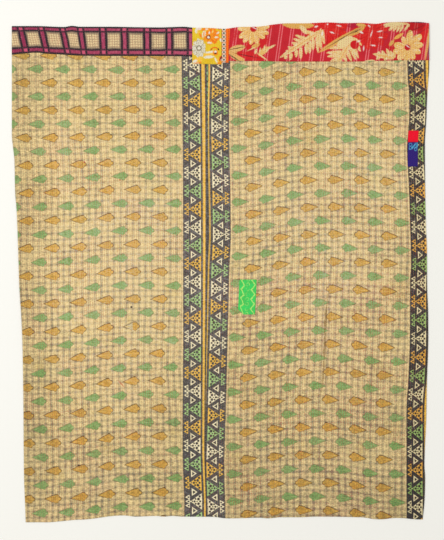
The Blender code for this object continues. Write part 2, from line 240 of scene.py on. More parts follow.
# Triangle borders: how deep the triangles are, the line on which they stand, (down, across), and how
# many triangles have passed at each place down
BORDERS = {
    "left": (
        0.0510,
        ((0.1892, 0.8246), (0.4224, 0.8281), (0.9812, 0.8312), (1.2232, 0.8312), (1.8612, 0.8290),
         (2.1076, 0.8364)),
        ((0.1905, 0), (0.4233, 3), (0.9838, 10), (1.1427, 12), (1.8634, 21), (2.1085, 24)),
    ),
    "middle": (
        0.0510,
        ((0.2288, 0.8820), (0.4224, 0.8774), (0.9372, 0.8848), (1.0912, 0.8782), (1.1748, 0.8765),
         (1.8876, 0.8576), (1.9404, 0.8562), (2.0504, 0.8584), (2.1296, 0.8615)),
        ((0.2306, 0), (0.4589, 3), (0.9346, 9), (1.1730, 12), (1.8898, 21), (2.1318, 24)),
    ),
    "right": (
        0.0460,
        ((0.1672, 1.8088), (0.2552, 1.8119), (0.3344, 1.8176), (0.4092, 1.8176), (0.4752, 1.8132),
         (0.5632, 1.8075), (0.6732, 1.8132), (0.7612, 1.8172), (0.8976, 1.8216), (1.0648, 1.8256),
         (1.1440, 1.8212), (1.3904, 1.8207), (1.5532, 1.8146), (1.7204, 1.8049), (2.1340, 1.8058)),
        ((0.1716, 0), (0.3388, 2), (0.6622, 6), (0.8565, 8.44), (1.6381, 18), (1.8890, 21), (2.1340, 24)),
    ),
}
# A crease that ends left of this place across is the left cloth's
PAST_SEAM = 0.87
# Past this place across, the right border is the nearer one
MIDDLE_OF_RIGHT_CLOTH = 1.34


# --- Plan of the quilt ---------------------------------------------------------------------------

def along(table, positions, named=1):
    """Read one column of a table as a smooth curve over its first column, level past its ends."""
    rows = np.array(table, dtype=float)
    knots, values = rows[:, 0], rows[:, named]
    rates = np.diff(values) / np.diff(knots)
    slopes = np.concatenate((rates[:1], (rates[:-1] + rates[1:]) / 2, rates[-1:]))
    turning = rates[:-1] * rates[1:] <= 0.0
    limit = 2.0 * np.minimum(np.abs(rates[:-1]), np.abs(rates[1:]))
    slopes[1:-1] = np.where(turning, 0.0, np.clip(slopes[1:-1], -limit, limit))
    at = np.clip(positions, knots[0], knots[-1])
    before = np.clip(np.searchsorted(knots, at) - 1, 0, len(knots) - 2)
    span = knots[before + 1] - knots[before]
    share = (at - knots[before]) / span
    rise = 3.0 * share ** 2 - 2.0 * share ** 3
    curve = values[before] * (1.0 - rise) + values[before + 1] * rise
    curve += slopes[before] * span * share * (1.0 - share) ** 2
    curve -= slopes[before + 1] * span * share ** 2 * (1.0 - share)
    return curve


def steady(table, positions):
    """Read a table straight from row to row, and on at the slope of its ends."""
    rows = np.array(table, dtype=float)
    knots, values = rows[:, 0], rows[:, 1]
    before = np.clip(np.searchsorted(knots, positions) - 1, 0, len(knots) - 2)
    slope = (values[before + 1] - values[before]) / (knots[before + 1] - knots[before])
    return values[before] + slope * (positions - knots[before])


def soft_hump(off):
    """1 in the middle, falling to 0 where off is 1."""
    return np.cos(np.pi / 2 * np.clip(off, 0.0, 1.0)) ** 2


def rounding(inset, radius):
    """How full a rounded edge is at an inset from the edge: 0 on it, 1 past its radius."""
    share = np.clip(inset / radius, 0.0, 1.0)
    return np.sqrt(1.0 - (1.0 - share) ** 2)


def underside(across, down):
    """Height of the quilt's underside over the surface that it lies on."""
    lift = np.zeros_like(across)
    for centre_x, centre_y, reach_x, reach_y, height in BILLOWS:
        off_x = np.abs(across - centre_x) / reach_x
        off_y = np.abs(down - centre_y) / reach_y
        lift += height * soft_hump(off_x) * soft_hump(off_y)
    return lift


def unevenness(across, down):
    """The small lumps of worn layers inside the quilt, between 0 and 0.7 mm."""
    long_waves = np.sin(17.0 * across + 4.0 * np.sin(5.0 * down)) * np.sin(11.0 * down + 2.0 * across)
    short_waves = np.sin(61.0 * across + 3.0 * np.sin(23.0 * down)) * np.sin(47.0 * down + 9.0 * across)
    fine_waves = np.sin(131.0 * across + 37.0 * down) * np.sin(113.0 * down - 29.0 * across)
    return 0.00035 + 0.00014 * long_waves + 0.00012 * short_waves + 0.00007 * fine_waves


def folds(across, down):
    """Creases and standing wrinkles over the smooth cloth."""
    height = np.zeros_like(across)
    for crease_down, start, end, depth in CREASES:
        inside = np.clip((across - start) / 0.05, 0.0, 1.0) * np.clip((end - across) / 0.05 + 1.0, 0.0, 1.0)
        wander = 0.003 * np.sin(19.0 * across) + 0.0015 * np.sin(53.0 * across)
        off = np.abs(down - crease_down - wander) / CREASE_WIDTH
        height += inside * depth * (0.45 * soft_hump(np.abs(off - 2.0) / 1.6) - soft_hump(off))
    for x1, y1, x2, y2, width, rise in WRINKLES:
        length = np.hypot(x2 - x1, y2 - y1)
        forward = ((across - x1) * (x2 - x1) + (down - y1) * (y2 - y1)) / length
        aside = ((across - x1) * (y2 - y1) - (down - y1) * (x2 - x1)) / length
        aside = aside + 0.25 * width * np.sin(forward / 0.031)
        ends = soft_hump(np.clip(np.abs(forward / length - 0.5) * 2.0, 0.0, 1.0) ** 4)
        height += rise * ends * soft_hump(np.abs(aside) / width)
    return height


def quilting(column, down):
    """How far the cloth puffs up between its stitch rows: 0 on a row, about 1 between two."""
    wave = np.sin(3.4 * column + 5.1 * down) * np.sin(0.9 * column - 14.0 * down)
    return np.sin(np.pi * column) ** 2 * (1.0 + RIDGE_SPREAD * wave)


def lie(across, down):
    """Height by which the cloths lie over the surface, uneven and creased as they are."""
    return underside(across, down) + unevenness(across, down) + folds(across, down)


class Half:
    """The plan of one of the two sari cloths."""

    def __init__(self, near_side, far_side, stitch_rows, near_gap, far_gap):
        self.near_side = near_side
        self.far_side = far_side
        self.stitch_rows = stitch_rows
        self.near_gap = near_gap
        self.far_gap = far_gap

    def spot(self, column, share):
        """Across and down of a point: share is 0 on the top hem and 1 on the bottom hem."""
        near = along(self.near_side, share * LENGTH) + self.near_gap
        far = along(self.far_side, share * LENGTH) - self.far_gap
        across = near + (far - near) * column / self.stitch_rows
        top = along(TOP_HEM, across)
        down = top + (along(BOTTOM_HEM, across) - top) * share
        return across, down

    def share_at(self, column, down):
        """The share at which a column reaches a given down."""
        share = down / LENGTH
        for _ in range(3):
            _, reached = self.spot(column, share)
            share = share + (down - reached) / LENGTH
        return share


LEFT = Half(LEFT_SIDE, SEAM_LINE, LEFT_STITCH_ROWS, 0.0, SEAM_GAP / 2)
RIGHT = Half(SEAM_LINE, RIGHT_SIDE, RIGHT_STITCH_ROWS, SEAM_GAP / 2, 0.0)


def spot_over_both(column, share):
    """Across and down of a point whose column is counted over both cloths."""
    left_across, left_down = LEFT.spot(column, share)
    right_across, right_down = RIGHT.spot(column - LEFT_STITCH_ROWS, share)
    on_left = column < LEFT_STITCH_ROWS
    return np.where(on_left, left_across, right_across), np.where(on_left, left_down, right_down)


def stitch_phase(row):
    """Where the stitches of a row start: each row steps on from the last, a little unevenly."""
    return 0.5 * row + 0.2 * np.sin(1.7 * row)


# --- Meshes --------------------------------------------------------------------------------------

def closed_grid(columns, rows, kept_every):
    """A grid made thick; its underside and walls keep only every so many columns.

    Gives a mesh, and for each point its column, its row and whether it is on the upper face.
    """
    across_count = len(columns) - 1
    down_count = len(rows) - 1
    mesh = bmesh.new()
    bmesh.ops.create_grid(mesh, x_segments=across_count, y_segments=down_count, size=0.5)
    made = bmesh.ops.extrude_face_region(mesh, geom=mesh.faces[:])
    raised = [item for item in made["geom"] if isinstance(item, bmesh.types.BMVert)]
    bmesh.ops.translate(mesh, vec=(0.0, 0.0, 1.0), verts=raised)

    spare = []
    for edge in mesh.edges:
        first, second = (vert.co for vert in edge.verts)
        if abs(first.x - second.x) > 1e-6 or first.z + second.z > 1.5:
            continue
        column = round((first.x + 0.5) * across_count)
        if column % kept_every and column != across_count:
            spare.append(edge)
    bmesh.ops.dissolve_edges(mesh, edges=spare, use_verts=True)
    bmesh.ops.recalc_face_normals(mesh, faces=mesh.faces[:])

    data = bpy.data.meshes.new("sheet")
    mesh.to_mesh(data)
    mesh.free()
    places = np.empty(len(data.vertices) * 3, dtype=np.float32)
    data.vertices.foreach_get("co", places)
    places = places.reshape(-1, 3)
    column = np.array(columns)[np.rint((places[:, 0] + 0.5) * across_count).astype(int)]
    row = np.array(rows)[np.rint((0.5 - places[:, 1]) * down_count).astype(int)]
    return data, column, row, places[:, 2] > 0.5


def in_frame(across, down, height):
    """Plan coordinates and heights as places in the frame of the solids."""
    return np.column_stack((across - WIDTH / 2, LENGTH / 2 - down, height))


def set_places(data, across, down, height):
    """Move the points of a mesh to plan coordinates and heights."""
    data.vertices.foreach_set("co", in_frame(across, down, height).astype(np.float32).ravel())
    data.update()


def between(guides, numbers, place, value):
    """The number of a value among guides, each a column of a table, numbered and read at a place."""
    bounds = [along(guides, place, index + 1) for index in range(len(numbers))]
    result = None
    for low, high, first, last in zip(bounds, bounds[1:], numbers, numbers[1:]):
        here = first + (last - first) * (value - low) / (high - low)
        result = here if result is None else np.where(value >= low, here, result)
    return result


def set_map(data, name, u, v):
    """Give a mesh a UV map from one pair of numbers for each point."""
    layer = data.uv_layers.new(name=name)
    corners = np.empty(len(data.loops), dtype=np.int32)
    data.loops.foreach_get("vertex_index", corners)
    pairs = np.column_stack((u, v))[corners]
    layer.data.foreach_set("uv", pairs.astype(np.float32).ravel())


def add_piece(name, data, material):
    """Link a mesh as a piece of the quilt."""
    data.name = name
    data.materials.append(material)
    data.shade_smooth()
    piece = bpy.data.objects.new(name, data)
    bpy.context.scene.collection.objects.link(piece)
    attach(piece, "root")
    return piece


def dress(node, flat, rests_on):
    """Let a piece stand for a node of the solids, as a sheet of its flat size.

    The solid stays in the model for collision, and the kit hides it here.
    """
    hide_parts(node)
    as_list(rests_on)


def evenly(start, end, step):
    """Numbers from start to end, both included, about a step apart."""
    return np.linspace(start, end, max(1, round((end - start) / step)) + 1)


def rows_with_creases(creases, row_count):
    """Shares down a cloth, closer together where a crease crosses it."""
    hem_inset = 0.02
    offsets = (-0.0048, -0.0034, -0.0020, -0.0010, 0.0, 0.0010, 0.0020, 0.0034, 0.0048)
    centres = [(crease_down - hem_inset) / (LENGTH - 2 * hem_inset) for crease_down in creases]
    extra = [centre + offset for centre in centres for offset in offsets]
    return np.array(sorted((*np.linspace(0.0, 1.0, row_count + 1), *extra)))


# --- Node trees ----------------------------------------------------------------------------------

def dye(red, green, blue):
    """A colour from its 8-bit screen values."""
    screen = np.array((red, green, blue)) / 255.0
    linear = np.where(screen <= 0.04045, screen / 12.92, ((screen + 0.055) / 1.055) ** 2.4)
    return (*(float(part) for part in linear), 1.0)


BLACK = (0.0, 0.0, 0.0, 1.0)
WHITE = (1.0, 1.0, 1.0, 1.0)


def feed(tree, socket, value):
    """Link a wire to a socket, or set the socket's own value."""
    if isinstance(value, Wire):
        tree.links.new(value.socket, socket)
    elif value is not None:
        socket.default_value = value


def add_node(tree, kind, values, output=0, **settings):
    """Add a shader node, feed its sockets by number or by name, and give the wire from one output."""
    node = tree.nodes.new("ShaderNode" + kind)
    for name, setting in settings.items():
        setattr(node, name, setting)
    for socket, value in values.items() if isinstance(values, dict) else enumerate(values):
        feed(tree, node.inputs[socket], value)
    return Wire(tree, node.outputs[output])


class Wire:
    """A number, vector or colour on its way through a node tree; sums with it add Math nodes."""

    def __init__(self, tree, socket):
        self.tree = tree
        self.socket = socket

    def math(self, operation, second=None, third=None):
        return add_node(self.tree, "Math", (self, second, third), operation=operation)

    def vector(self, operation, second=None):
        measured = operation in ("DISTANCE", "LENGTH", "DOT_PRODUCT")
        output = "Value" if measured else "Vector"
        return add_node(self.tree, "VectorMath", (self, second), output, operation=operation)

    def __add__(self, other):
        return self.math("ADD", other)

    def __sub__(self, other):
        return self.math("SUBTRACT", other)

    def __rsub__(self, other):
        return self.math("MULTIPLY_ADD", -1.0, other)

    def __mul__(self, other):
        return self.math("MULTIPLY", other)

    def __truediv__(self, other):
        return self.math("DIVIDE", other)

    def __abs__(self):
        return self.math("ABSOLUTE")

    __radd__ = __add__
    __rmul__ = __mul__

    def least(self, other):
        return self.math("MINIMUM", other)

    def most(self, other):
        return self.math("MAXIMUM", other)

    def scaled(self, factor, shift=0.0):
        return self.math("MULTIPLY_ADD", factor, shift)

    def ramp(self, factor, shift=0.0):
        """Scaled, and kept between 0 and 1."""
        return self.scaled(factor, shift).most(0.0).least(1.0)

    def inside(self, soft):
        """1 where a distance to an edge is below zero and 0 past it, over a soft width."""
        return self.ramp(-1.0 / soft, 0.5)

    def cell(self):
        """The nearest whole number."""
        return self.math("ROUND")

    def off_cell(self):
        """How far the value is past the nearest whole number."""
        return self - self.cell()

    def parts(self):
        node = self.tree.nodes.new("ShaderNodeSeparateXYZ")
        feed(self.tree, node.inputs[0], self)
        return [Wire(self.tree, output) for output in node.outputs]

    def waver(self, scale, detail=2.0, roughness=0.5, out="Fac"):
        """Noise read at this vector."""
        values = {"Vector": self, "Scale": scale, "Detail": detail, "Roughness": roughness}
        return add_node(self.tree, "TexNoise", values, out)

    def chance(self):
        """One random number between 0 and 1 for each value of this vector."""
        return add_node(self.tree, "TexWhiteNoise", {"Vector": self}, "Value", noise_dimensions="3D")


def joined(x, y, z=0.0):
    """A vector from its parts."""
    return add_node(x.tree, "CombineXYZ", (x, y, z))


def turned_off(place, centre, turn):
    """How far a place is from a centre, as seen by something turned about that centre."""
    values = {"Vector": place, "Center": centre, "Angle": turn}
    turned = add_node(place.tree, "VectorRotate", values, "Vector", rotation_type="Z_AXIS")
    return turned.vector("SUBTRACT", centre)


def lay(under, over, mask):
    """Lay a colour over another where a mask is 1."""
    under_socket, over_socket, result = 6, 7, 2
    values = {"Factor": mask, under_socket: under, over_socket: over}
    return add_node(mask.tree, "Mix", values, result, data_type="RGBA")


def paint(colour, *coats):
    """Lay coats over a colour, one after the other: each is a shade and its mask."""
    for shade, mask in coats:
        colour = lay(colour, shade, mask)
    return colour


def dots(point, spots, soft):
    """A mask of round spots: each is (x, y, radius)."""
    return reduce(Wire.most, (
        (point.vector("DISTANCE", (x, y, 0.0)) - radius).inside(soft) for x, y, radius in spots))


def effect(name, takes, gives):
    """Decorate a function that fills a shader node group, built once when it is first used."""

    def keep(fill):
        def group():
            if name in bpy.data.node_groups:
                return bpy.data.node_groups[name]
            tree = bpy.data.node_groups.new(name, "ShaderNodeTree")
            for in_out, sockets in (("INPUT", takes), ("OUTPUT", gives)):
                for label, kind in sockets.items():
                    tree.interface.new_socket(name=label, in_out=in_out, socket_type="NodeSocket" + kind)
            entry = tree.nodes.new("NodeGroupInput")
            results = fill(*(Wire(tree, entry.outputs[label]) for label in takes))
            leave = tree.nodes.new("NodeGroupOutput")
            for label, result in zip(gives, results):
                feed(tree, leave.inputs[label], result)
            return tree

        def use(*values):
            tree = values[0].tree
            node = tree.nodes.new("ShaderNodeGroup")
            node.node_tree = group()
            for label, value in zip(takes, values):
                feed(tree, node.inputs[label], value)
            wires = [Wire(tree, node.outputs[label]) for label in gives]
            return wires if len(wires) > 1 else wires[0]

        use.__doc__ = fill.__doc__
        return use

    return keep


# --- Effects that the finishes share -------------------------------------------------------------

@effect("Leaf print", {"Vector": "Vector"}, {"Fill": "Float", "Rim": "Float", "Vein": "Float"})
def leaf_print(point):
    """A blunt leaf whose tip is at x = 0 and whose end is near x = 15.5, in print units."""
    x, y, _ = point.parts()
    rough = point.waver(0.60).scaled(1.7, -0.85)
    front = (x * 0.125).math("SINE") * 2.3 + x.scaled(0.155, 0.1)
    past = ((x - 11.4) / 2.5).most(0.0)
    rear = (1.0 - past * past).most(0.0).math("SQRT") * 4.05 - (x - 13.6).most(0.0) * 4.0
    blade_edge = abs(y) - front.math("SMOOTH_MIN", rear, 0.4)
    off = x - 13.8
    nub = (off * off + y * y).math("SQRT") - 1.65
    body = blade_edge.math("SMOOTH_MIN", nub, 0.5) + rough
    vein = (abs(y) + abs(x - 3.4) * 0.16 - 0.7).inside(0.9)
    bud = (joined(x, y).vector("DISTANCE", (14.0, 0.0, 0.0)) - 0.8).inside(0.9)
    return body.inside(0.6), (body + y * 0.05 - 0.62).inside(0.75), vein.most(bud)


@effect("Woven plaid", {"Vector": "Vector"}, {"Lines": "Float"})
def woven_plaid(point):
    """Crossing bands of three fine lines each, faded here and there, in print units."""
    x, y, _ = point.parts()
    wear = point.waver(0.03, 3.0, 0.65)
    patchy = point.waver(0.16, 2.0, 0.6)
    line_pitch = 0.9

    def bands(place, pitch, thread):
        share = place / pitch
        off = abs(share.off_cell()) * pitch
        strength = joined(share.cell(), thread).chance().scaled(0.36, 0.78)
        line = (place * (FULL_TURN / line_pitch)).math("COSINE").scaled(0.14, 0.86)
        return (off - 1.2).inside(1.5) * line * strength

    upright, level = bands(x, 6.32, 3.0), bands(y, 6.14, 5.0)
    lines = upright + level * 0.85 - upright * level * 0.15
    fine = joined(x * 1.3, y * 0.5).waver(1.0, 1.0).scaled(0.9, 0.55)
    return [lines * wear.ramp(1.5, 0.02) * patchy.ramp(1.1, 0.36) * fine]


@effect(
    "Triangle border",
    {"Vector": "Vector", "Cream": "Color", "Second": "Color", "Third": "Color", "Ground": "Color"},
    {"Color": "Color"},
)
def triangle_border(point, cream, second, third, ground):
    """Dotted triangles with a comb of three at their tips and hollow ones between them.

    x is 0 on the line where the triangles stand and 1 at their tips; y counts the triangles.
    """
    soft = 0.05
    pitch = 1.57
    tooth_pitch = 0.355
    hollow_line = 0.095
    rough = point.vector("MULTIPLY", (11.6, 18.2, 0.0)).waver(0.5).scaled(0.06, -0.03)
    x, y, _ = point.parts()
    turn = y.cell()
    off = (y - turn) * pitch
    aside = abs(off)
    body = (aside - (1.0 - x) * 0.69).most(x * -1.0) + rough
    holes = dots(joined(x, aside), (
        (0.83, 0.0, 0.055), (0.65, 0.0, 0.090), (0.55, 0.20, 0.075), (0.31, 0.20, 0.115),
        (0.16, 0.0, 0.085), (0.19, 0.42, 0.095), (0.43, 0.0, 0.055),
    ), soft)
    teeth = off / tooth_pitch
    tooth = abs(teeth - teeth.cell().least(1.0).most(-1.0)) * tooth_pitch
    comb = (tooth - (1.44 - x) * 0.54).most(1.06 - x).most(aside - 0.54) + rough
    comb_holes = dots(joined(x, tooth), ((1.17, 0.0, 0.075),), soft)
    neck = (abs(x - 1.03) - 0.06).most(aside - 0.045).inside(soft)
    big = (body.inside(soft) * (1.0 - holes)).most(comb.inside(soft) * (1.0 - comb_holes)).most(neck)

    gap = abs(abs(y - turn) - 0.5) * pitch
    frame_edge = (gap - (x - 0.38) * 0.67).most(x - 0.86) + rough
    frame_hole = (frame_edge + hollow_line).inside(soft)

    third_turn = (turn + 300.0).math("MODULO", 3.0)
    colour = paint(
        cream,
        (second, abs(third_turn - 1.0).ramp(-2.0, 1.0)),
        (third, abs(third_turn - 2.0).ramp(-2.0, 1.0)))
    dark = (body.inside(soft) * holes).most(frame_hole).most(comb.inside(soft) * comb_holes)
    return [paint(
        ground, (colour, big), (cream, frame_edge.inside(soft) * (1.0 - frame_hole)),
        (dye(30, 28, 30), dark * 0.5))]


@effect(
    "Old cotton", {"Vector": "Vector", "Stitches": "Vector"},
    {"Height": "Float", "Tone": "Float", "Speck": "Float"},
)
def old_cotton(place, stitches):
    """Plain weave, the pull of each stitch and the soft fading of a washed cloth."""
    x, y, _ = place.parts()
    per_metre = FULL_TURN / WEAVE_PITCH
    weave = (x * per_metre).math("SINE") * (y * per_metre).math("SINE")
    row, along_row, _ = stitches.parts()
    near_row = row.cell()
    from_row = abs(row - near_row)
    phase = near_row * 0.5 + (near_row * 1.7).math("SINE") * 0.2
    beat = ((along_row + phase) * FULL_TURN).math("COSINE")
    ripple = (from_row - 0.30).inside(0.5) * beat.scaled(-0.5, -0.5)
    lumps = place.waver(90.0, 3.0, 0.6)
    height = ripple * 0.9 + weave * 0.10 + lumps * 0.7
    fade = place.waver(3.1, 4.0, 0.6).scaled(0.34, 0.83)
    grit = place.waver(420.0, 2.0, 0.7).scaled(0.22, 0.89)
    speck = (from_row - 0.20).inside(0.2) * beat.ramp(-4.0, -2.4)
    # The tone is darkened by up to a tenth in the dimple of each stitch: painted shade.
    return height, fade * grit * ripple.scaled(0.10, 1.0), speck


@effect("Soft spot", {"Vector": "Vector", "Centre": "Vector", "Reach": "Vector"}, {"Mask": "Float"})
def soft_spot(place, centre, reach):
    """A soft round stain: 1 at its centre, 0 past its reach."""
    off = place.vector("SUBTRACT", centre).vector("DIVIDE", reach).vector("LENGTH")
    return [off.ramp(-1.0, 1.0).math("SMOOTH_MIN", 1.0, 0.3)]


STROKE = {"Vector": "Vector", "Centre": "Vector", "Reach": "Vector", "Turn": "Float"}


@effect("Brush stroke", STROKE, {"Mask": "Float"})
def brush_stroke(place, centre, reach, turn):
    """A painted stroke: an ellipse of two half lengths; its right end rises with the turn."""
    share = turned_off(place, centre, turn).vector("DIVIDE", reach).vector("LENGTH")
    return [((share - 1.0) * reach.parts()[1]).inside(0.7)]


@effect("Blade", STROKE, {"Mask": "Float"})
def blade(place, centre, reach, turn):
    """A painted leaf: a stroke that comes to a point at both its ends."""
    along_it, across_it, _ = turned_off(place, centre, turn).vector("DIVIDE", reach).parts()
    share = abs(along_it).math("POWER", 2.4) + abs(across_it).math("POWER", 1.3)
    return [((share - 1.0) * reach.parts()[1]).inside(0.9)]


@effect(
    "Flower head",
    {"Vector": "Vector", "Centre": "Vector", "Radius": "Float", "Petals": "Float", "Turn": "Float",
     "Notch": "Float"},
    {"Petal": "Float", "Streak": "Float", "Fold": "Float"},
)
def flower_head(place, centre, radius, petals, turn, notch):
    """Round-ended petals about a centre, with streaks along them and folds between them."""
    off = place.vector("SUBTRACT", centre)
    x, y, _ = off.parts()
    reach = off.vector("LENGTH")
    angle = y.math("ARCTAN2", x) + turn
    facing, beside = angle.math("COSINE"), angle.math("SINE")
    lobe = abs((angle * petals * 0.5).math("COSINE"))
    ragged = joined(facing, beside).waver(2.2, 3.0, 0.7).scaled(0.5, 0.75)
    edge = radius * (1.0 - notch * (1.0 - lobe.math("POWER", 0.45))) * ragged
    streak = joined(facing * 7.0, beside * 7.0, reach * 0.10).waver(1.5, 2.0, 0.6).ramp(9.0, -4.6)
    fold = (lobe - 0.30).inside(0.4) * (reach / radius).ramp(1.5, -0.2)
    return (reach - edge).inside(0.9), streak, fold


@effect(
    "Leaflet", {"Vector": "Vector", "Root": "Vector", "Tip": "Vector", "Width": "Float"},
    {"Mask": "Float"},
)
def leaflet(place, root, tip, width):
    """A slim leaf from its root to its tip, widest near the root."""
    axis = tip.vector("SUBTRACT", root)
    off = place.vector("SUBTRACT", root)
    share = off.vector("DOT_PRODUCT", axis) / axis.vector("DOT_PRODUCT", axis)
    aside = off.vector("SUBTRACT", axis.vector("MULTIPLY", joined(share, share))).vector("LENGTH")
    swell = share.most(0.0).math("POWER", 0.5) * (1.0 - share).most(0.0).math("POWER", 0.7) * 2.0
    return [(aside - width * swell).inside(0.8) * (abs(share - 0.5) - 0.5).inside(0.04)]


# --- Materials in the making ---------------------------------------------------------------------

class Finish:
    """A material in the making: its tree, its maps and its Principled shader."""

    def __init__(self, name, roughness=0.9):
        self.material = bpy.data.materials.new(name)
        self.material.use_nodes = True
        self.tree = self.material.node_tree
        self.shader = self.tree.nodes["Principled BSDF"]
        self.shader.inputs["Roughness"].default_value = roughness
        self.shader.inputs["Specular IOR Level"].default_value = 0.25
        self.shader.inputs["Sheen Weight"].default_value = 0.12
        self.shader.inputs["Sheen Roughness"].default_value = 0.5
        self.place = add_node(self.tree, "TexCoord", (), "Object")
        self.colours = bpy.context.scene.quilt_colours

    def map(self, name):
        """A UV map of the piece."""
        return add_node(self.tree, "UVMap", (), "UV", uv_map=name)

    def plan(self):
        """Plan coordinates in print units: x across and y down."""
        turned = self.place.vector("MULTIPLY", (1.0 / PRINT_UNIT, -1.0 / PRINT_UNIT, 0.0))
        return turned.vector("ADD", (WIDTH / 2 / PRINT_UNIT, LENGTH / 2 / PRINT_UNIT, 0.0))

    def unsteady(self, spot, scale, reach_x, reach_y):
        """A place that wavers a little, so that printed edges are never quite clean."""
        off = self.place.waver(scale, out="Color").vector("SUBTRACT", (0.5, 0.5, 0.5))
        return spot.vector("ADD", off.vector("MULTIPLY", (reach_x, reach_y, 0.0)))

    def close(self, colour, height, bump=0.0008):
        """Feed the shader its colour and its bump."""
        feed(self.tree, self.shader.inputs["Base Color"], colour)
        values = {"Strength": 0.5, "Distance": bump, "Height": height}
        feed(self.tree, self.shader.inputs["Normal"], add_node(self.tree, "Bump", values, "Normal"))
        return self.material


class ClothFinish(Finish):
    """A finish on old cotton, with the cloth's height, its tone and the specks of its stitches."""

    def __init__(self, name):
        super().__init__(name)
        self.height, self.tone, self.speck = old_cotton(self.place, self.map("stitches"))

    def done(self, colour):
        """Darken a colour by the tone of the cloth, and close the material with it."""
        return self.close(lay(colour, BLACK, 1.0 - self.tone.least(1.0)), self.height)


def paint_strokes(colour, plan, strokes, strength=1.0):
    """Lay a table of brush strokes over a colour."""
    for across, down, long, wide, turn, shade in strokes:
        stroke = blade if long > wide * 2.6 and wide > 1.2 else brush_stroke
        mask = stroke(plan, (across, down, 0.0), (long, wide, 1.0), np.radians(turn))
        colour = lay(colour, shade, mask * strength)
    return colour


# --- Sizes and colours that a user would change --------------------------------------------------

def colour_setting(label, text, shade):
    """A colour that the sidebar shows."""
    return FloatVectorProperty(name=label, description=text, subtype="COLOR", size=4, min=0.0, max=1.0,
                               default=shade)


class QuiltSizes(bpy.types.PropertyGroup):
    stitch_pitch: FloatProperty(
        name="Stitch pitch", description="From one running stitch to the next along its row",
        default=0.010, min=0.006, max=0.02, unit="LENGTH")
    stitch_length: FloatProperty(
        name="Stitch length", description="How much of the thread shows in one stitch",
        default=0.0056, min=0.002, max=0.01, unit="LENGTH")
    thread_width: FloatProperty(
        name="Thread width", description="Width of the quilting thread",
        default=0.0016, min=0.0004, max=0.002, unit="LENGTH")
    columns_per_row: IntProperty(
        name="Columns per stitch row", description="Columns of the mesh from one stitch row to the next",
        default=4, min=2, max=6)


class QuiltColours(bpy.types.PropertyGroup):
    straw: colour_setting("Straw", "Ground of the sari cloths", dye(255, 232, 166))
    olive: colour_setting("Olive grey", "Lines of the plaid", dye(117, 113, 98))
    green: colour_setting("Leaf green", "Green leaves and triangles", dye(154, 194, 122))
    mustard: colour_setting("Mustard", "Mustard leaves", dye(247, 200, 98))
    ink: colour_setting("Slate", "Ground of the triangle borders", dye(79, 78, 76))
    cream: colour_setting("Cream", "Palest triangles of the borders", dye(255, 242, 198))
    marigold: colour_setting("Marigold", "Stripes and triangles of the borders", dye(247, 196, 78))
    crimson: colour_setting("Crimson", "Ground of the red band", dye(206, 34, 46))
    magenta: colour_setting("Magenta", "Bars of the check band", dye(148, 42, 78))
    thread: colour_setting("Thread", "Quilting thread", dye(214, 182, 140))


class QuiltStage(bpy.types.PropertyGroup):
    camera_height: FloatProperty(
        name="Camera height", description="Height of the camera over the quilt", default=4.5, unit="LENGTH")
    framed_length: FloatProperty(
        name="Framed length", description="Length of floor from the top to the bottom of the picture",
        default=2.376, unit="LENGTH")
    aim: FloatVectorProperty(
        name="Aim", description="Point under the camera", size=2, default=(0.0065, 0.0088), unit="LENGTH")


# --- Finish of the saris -------------------------------------------------------------------------

# Soft changes of tone over the sari cloths, in print units: where, how far, and how much darker; those at
# the left side are painted shade
TONES = (
    # across down   reach_x reach_y darker
    (400.0,  520.0,  330.0,  330.0,  0.32),
    (60.0,   520.0,  300.0,  260.0,  0.15),
    (240.0,  20.0,   260.0,  120.0,  0.10),
    (100.0,  50.0,   120.0,  110.0,  0.05),
    (8.0,    290.0,  42.0,   440.0,  0.22),
    (8.0,    60.0,   46.0,   120.0,  0.17),
    (412.0,  330.0,  26.0,   420.0,  0.14),
    (222.0,  385.0,  12.0,   16.0,  -0.16),
    (62.0,   476.0,  44.0,   14.0,   0.08),
    (215.0,  300.0,  70.0,   240.0,  0.05),
    (112.0,  265.0,  110.0,  165.0, -0.15),
    (310.0,  265.0,  125.0,  260.0, -0.13),
    (18.0,   418.0,  34.0,   110.0,  0.15),
    (20.0,   230.0,  26.0,   100.0,  0.06),
)

# Small stains of the left sari, and the line of shade beside the standing fold of the right one: across,
# down, half length, half width, turn and colour
STAINS = (
    (119.5, 285.0, 1.0, 1.0, 0.0, dye(60, 38, 30)), (67.0, 443.0, 0.9, 0.9, 0.0, dye(70, 52, 38)),
    (72.6, 140.0, 0.7, 0.7, 0.0, dye(196, 60, 48)), (108.0, 158.0, 0.7, 0.7, 0.0, dye(196, 60, 48)),
    (109.3, 361.7, 3.6, 0.45, -47.0, dye(208, 96, 62)),
)
FOLD_LINES = (
    (315.2, 279.0, 10.0, 0.55, 83.0, dye(150, 118, 66)),
    (313.4, 298.0, 14.0, 1.30, 86.0, dye(132, 100, 48)),
    (312.3, 325.0, 15.0, 1.35, 88.0, dye(134, 102, 50)),
    (311.2, 349.0, 12.0, 1.25, 86.0, dye(142, 112, 60)),
    (309.8, 366.0, 9.0, 0.50, 82.0, dye(160, 128, 76)), (312.0, 279.5, 8.0, 0.55, 62.0, dye(176, 144, 90)),
)

# What each print has of its own, in print units: the cells of its leaves, which way their tips point,
# its first and last column of leaves, and how far the mustard leaves stand off the middle of their
# cells; then how strong its plaid is and how brown, and its flecks of coloured thread
SARI_PRINTS = {
    "left_sari": {
        "cells": (27.1, 27.74), "tips": 1.0, "columns": (-1.1, 5.1), "mustard_off": -0.012,
        "plaid": 0.55, "brown": -1.8, "red_flecks": (0.25, 0.06), "olive_flecks": 0.3,
    },
    "right_sari": {
        "cells": (26.6, 27.25), "tips": -1.0, "columns": (-0.1, 6.1), "mustard_off": 0.0,
        "plaid": 0.60, "brown": -1.38, "red_flecks": (0.36, 0.10), "olive_flecks": 0.5,
    },
}
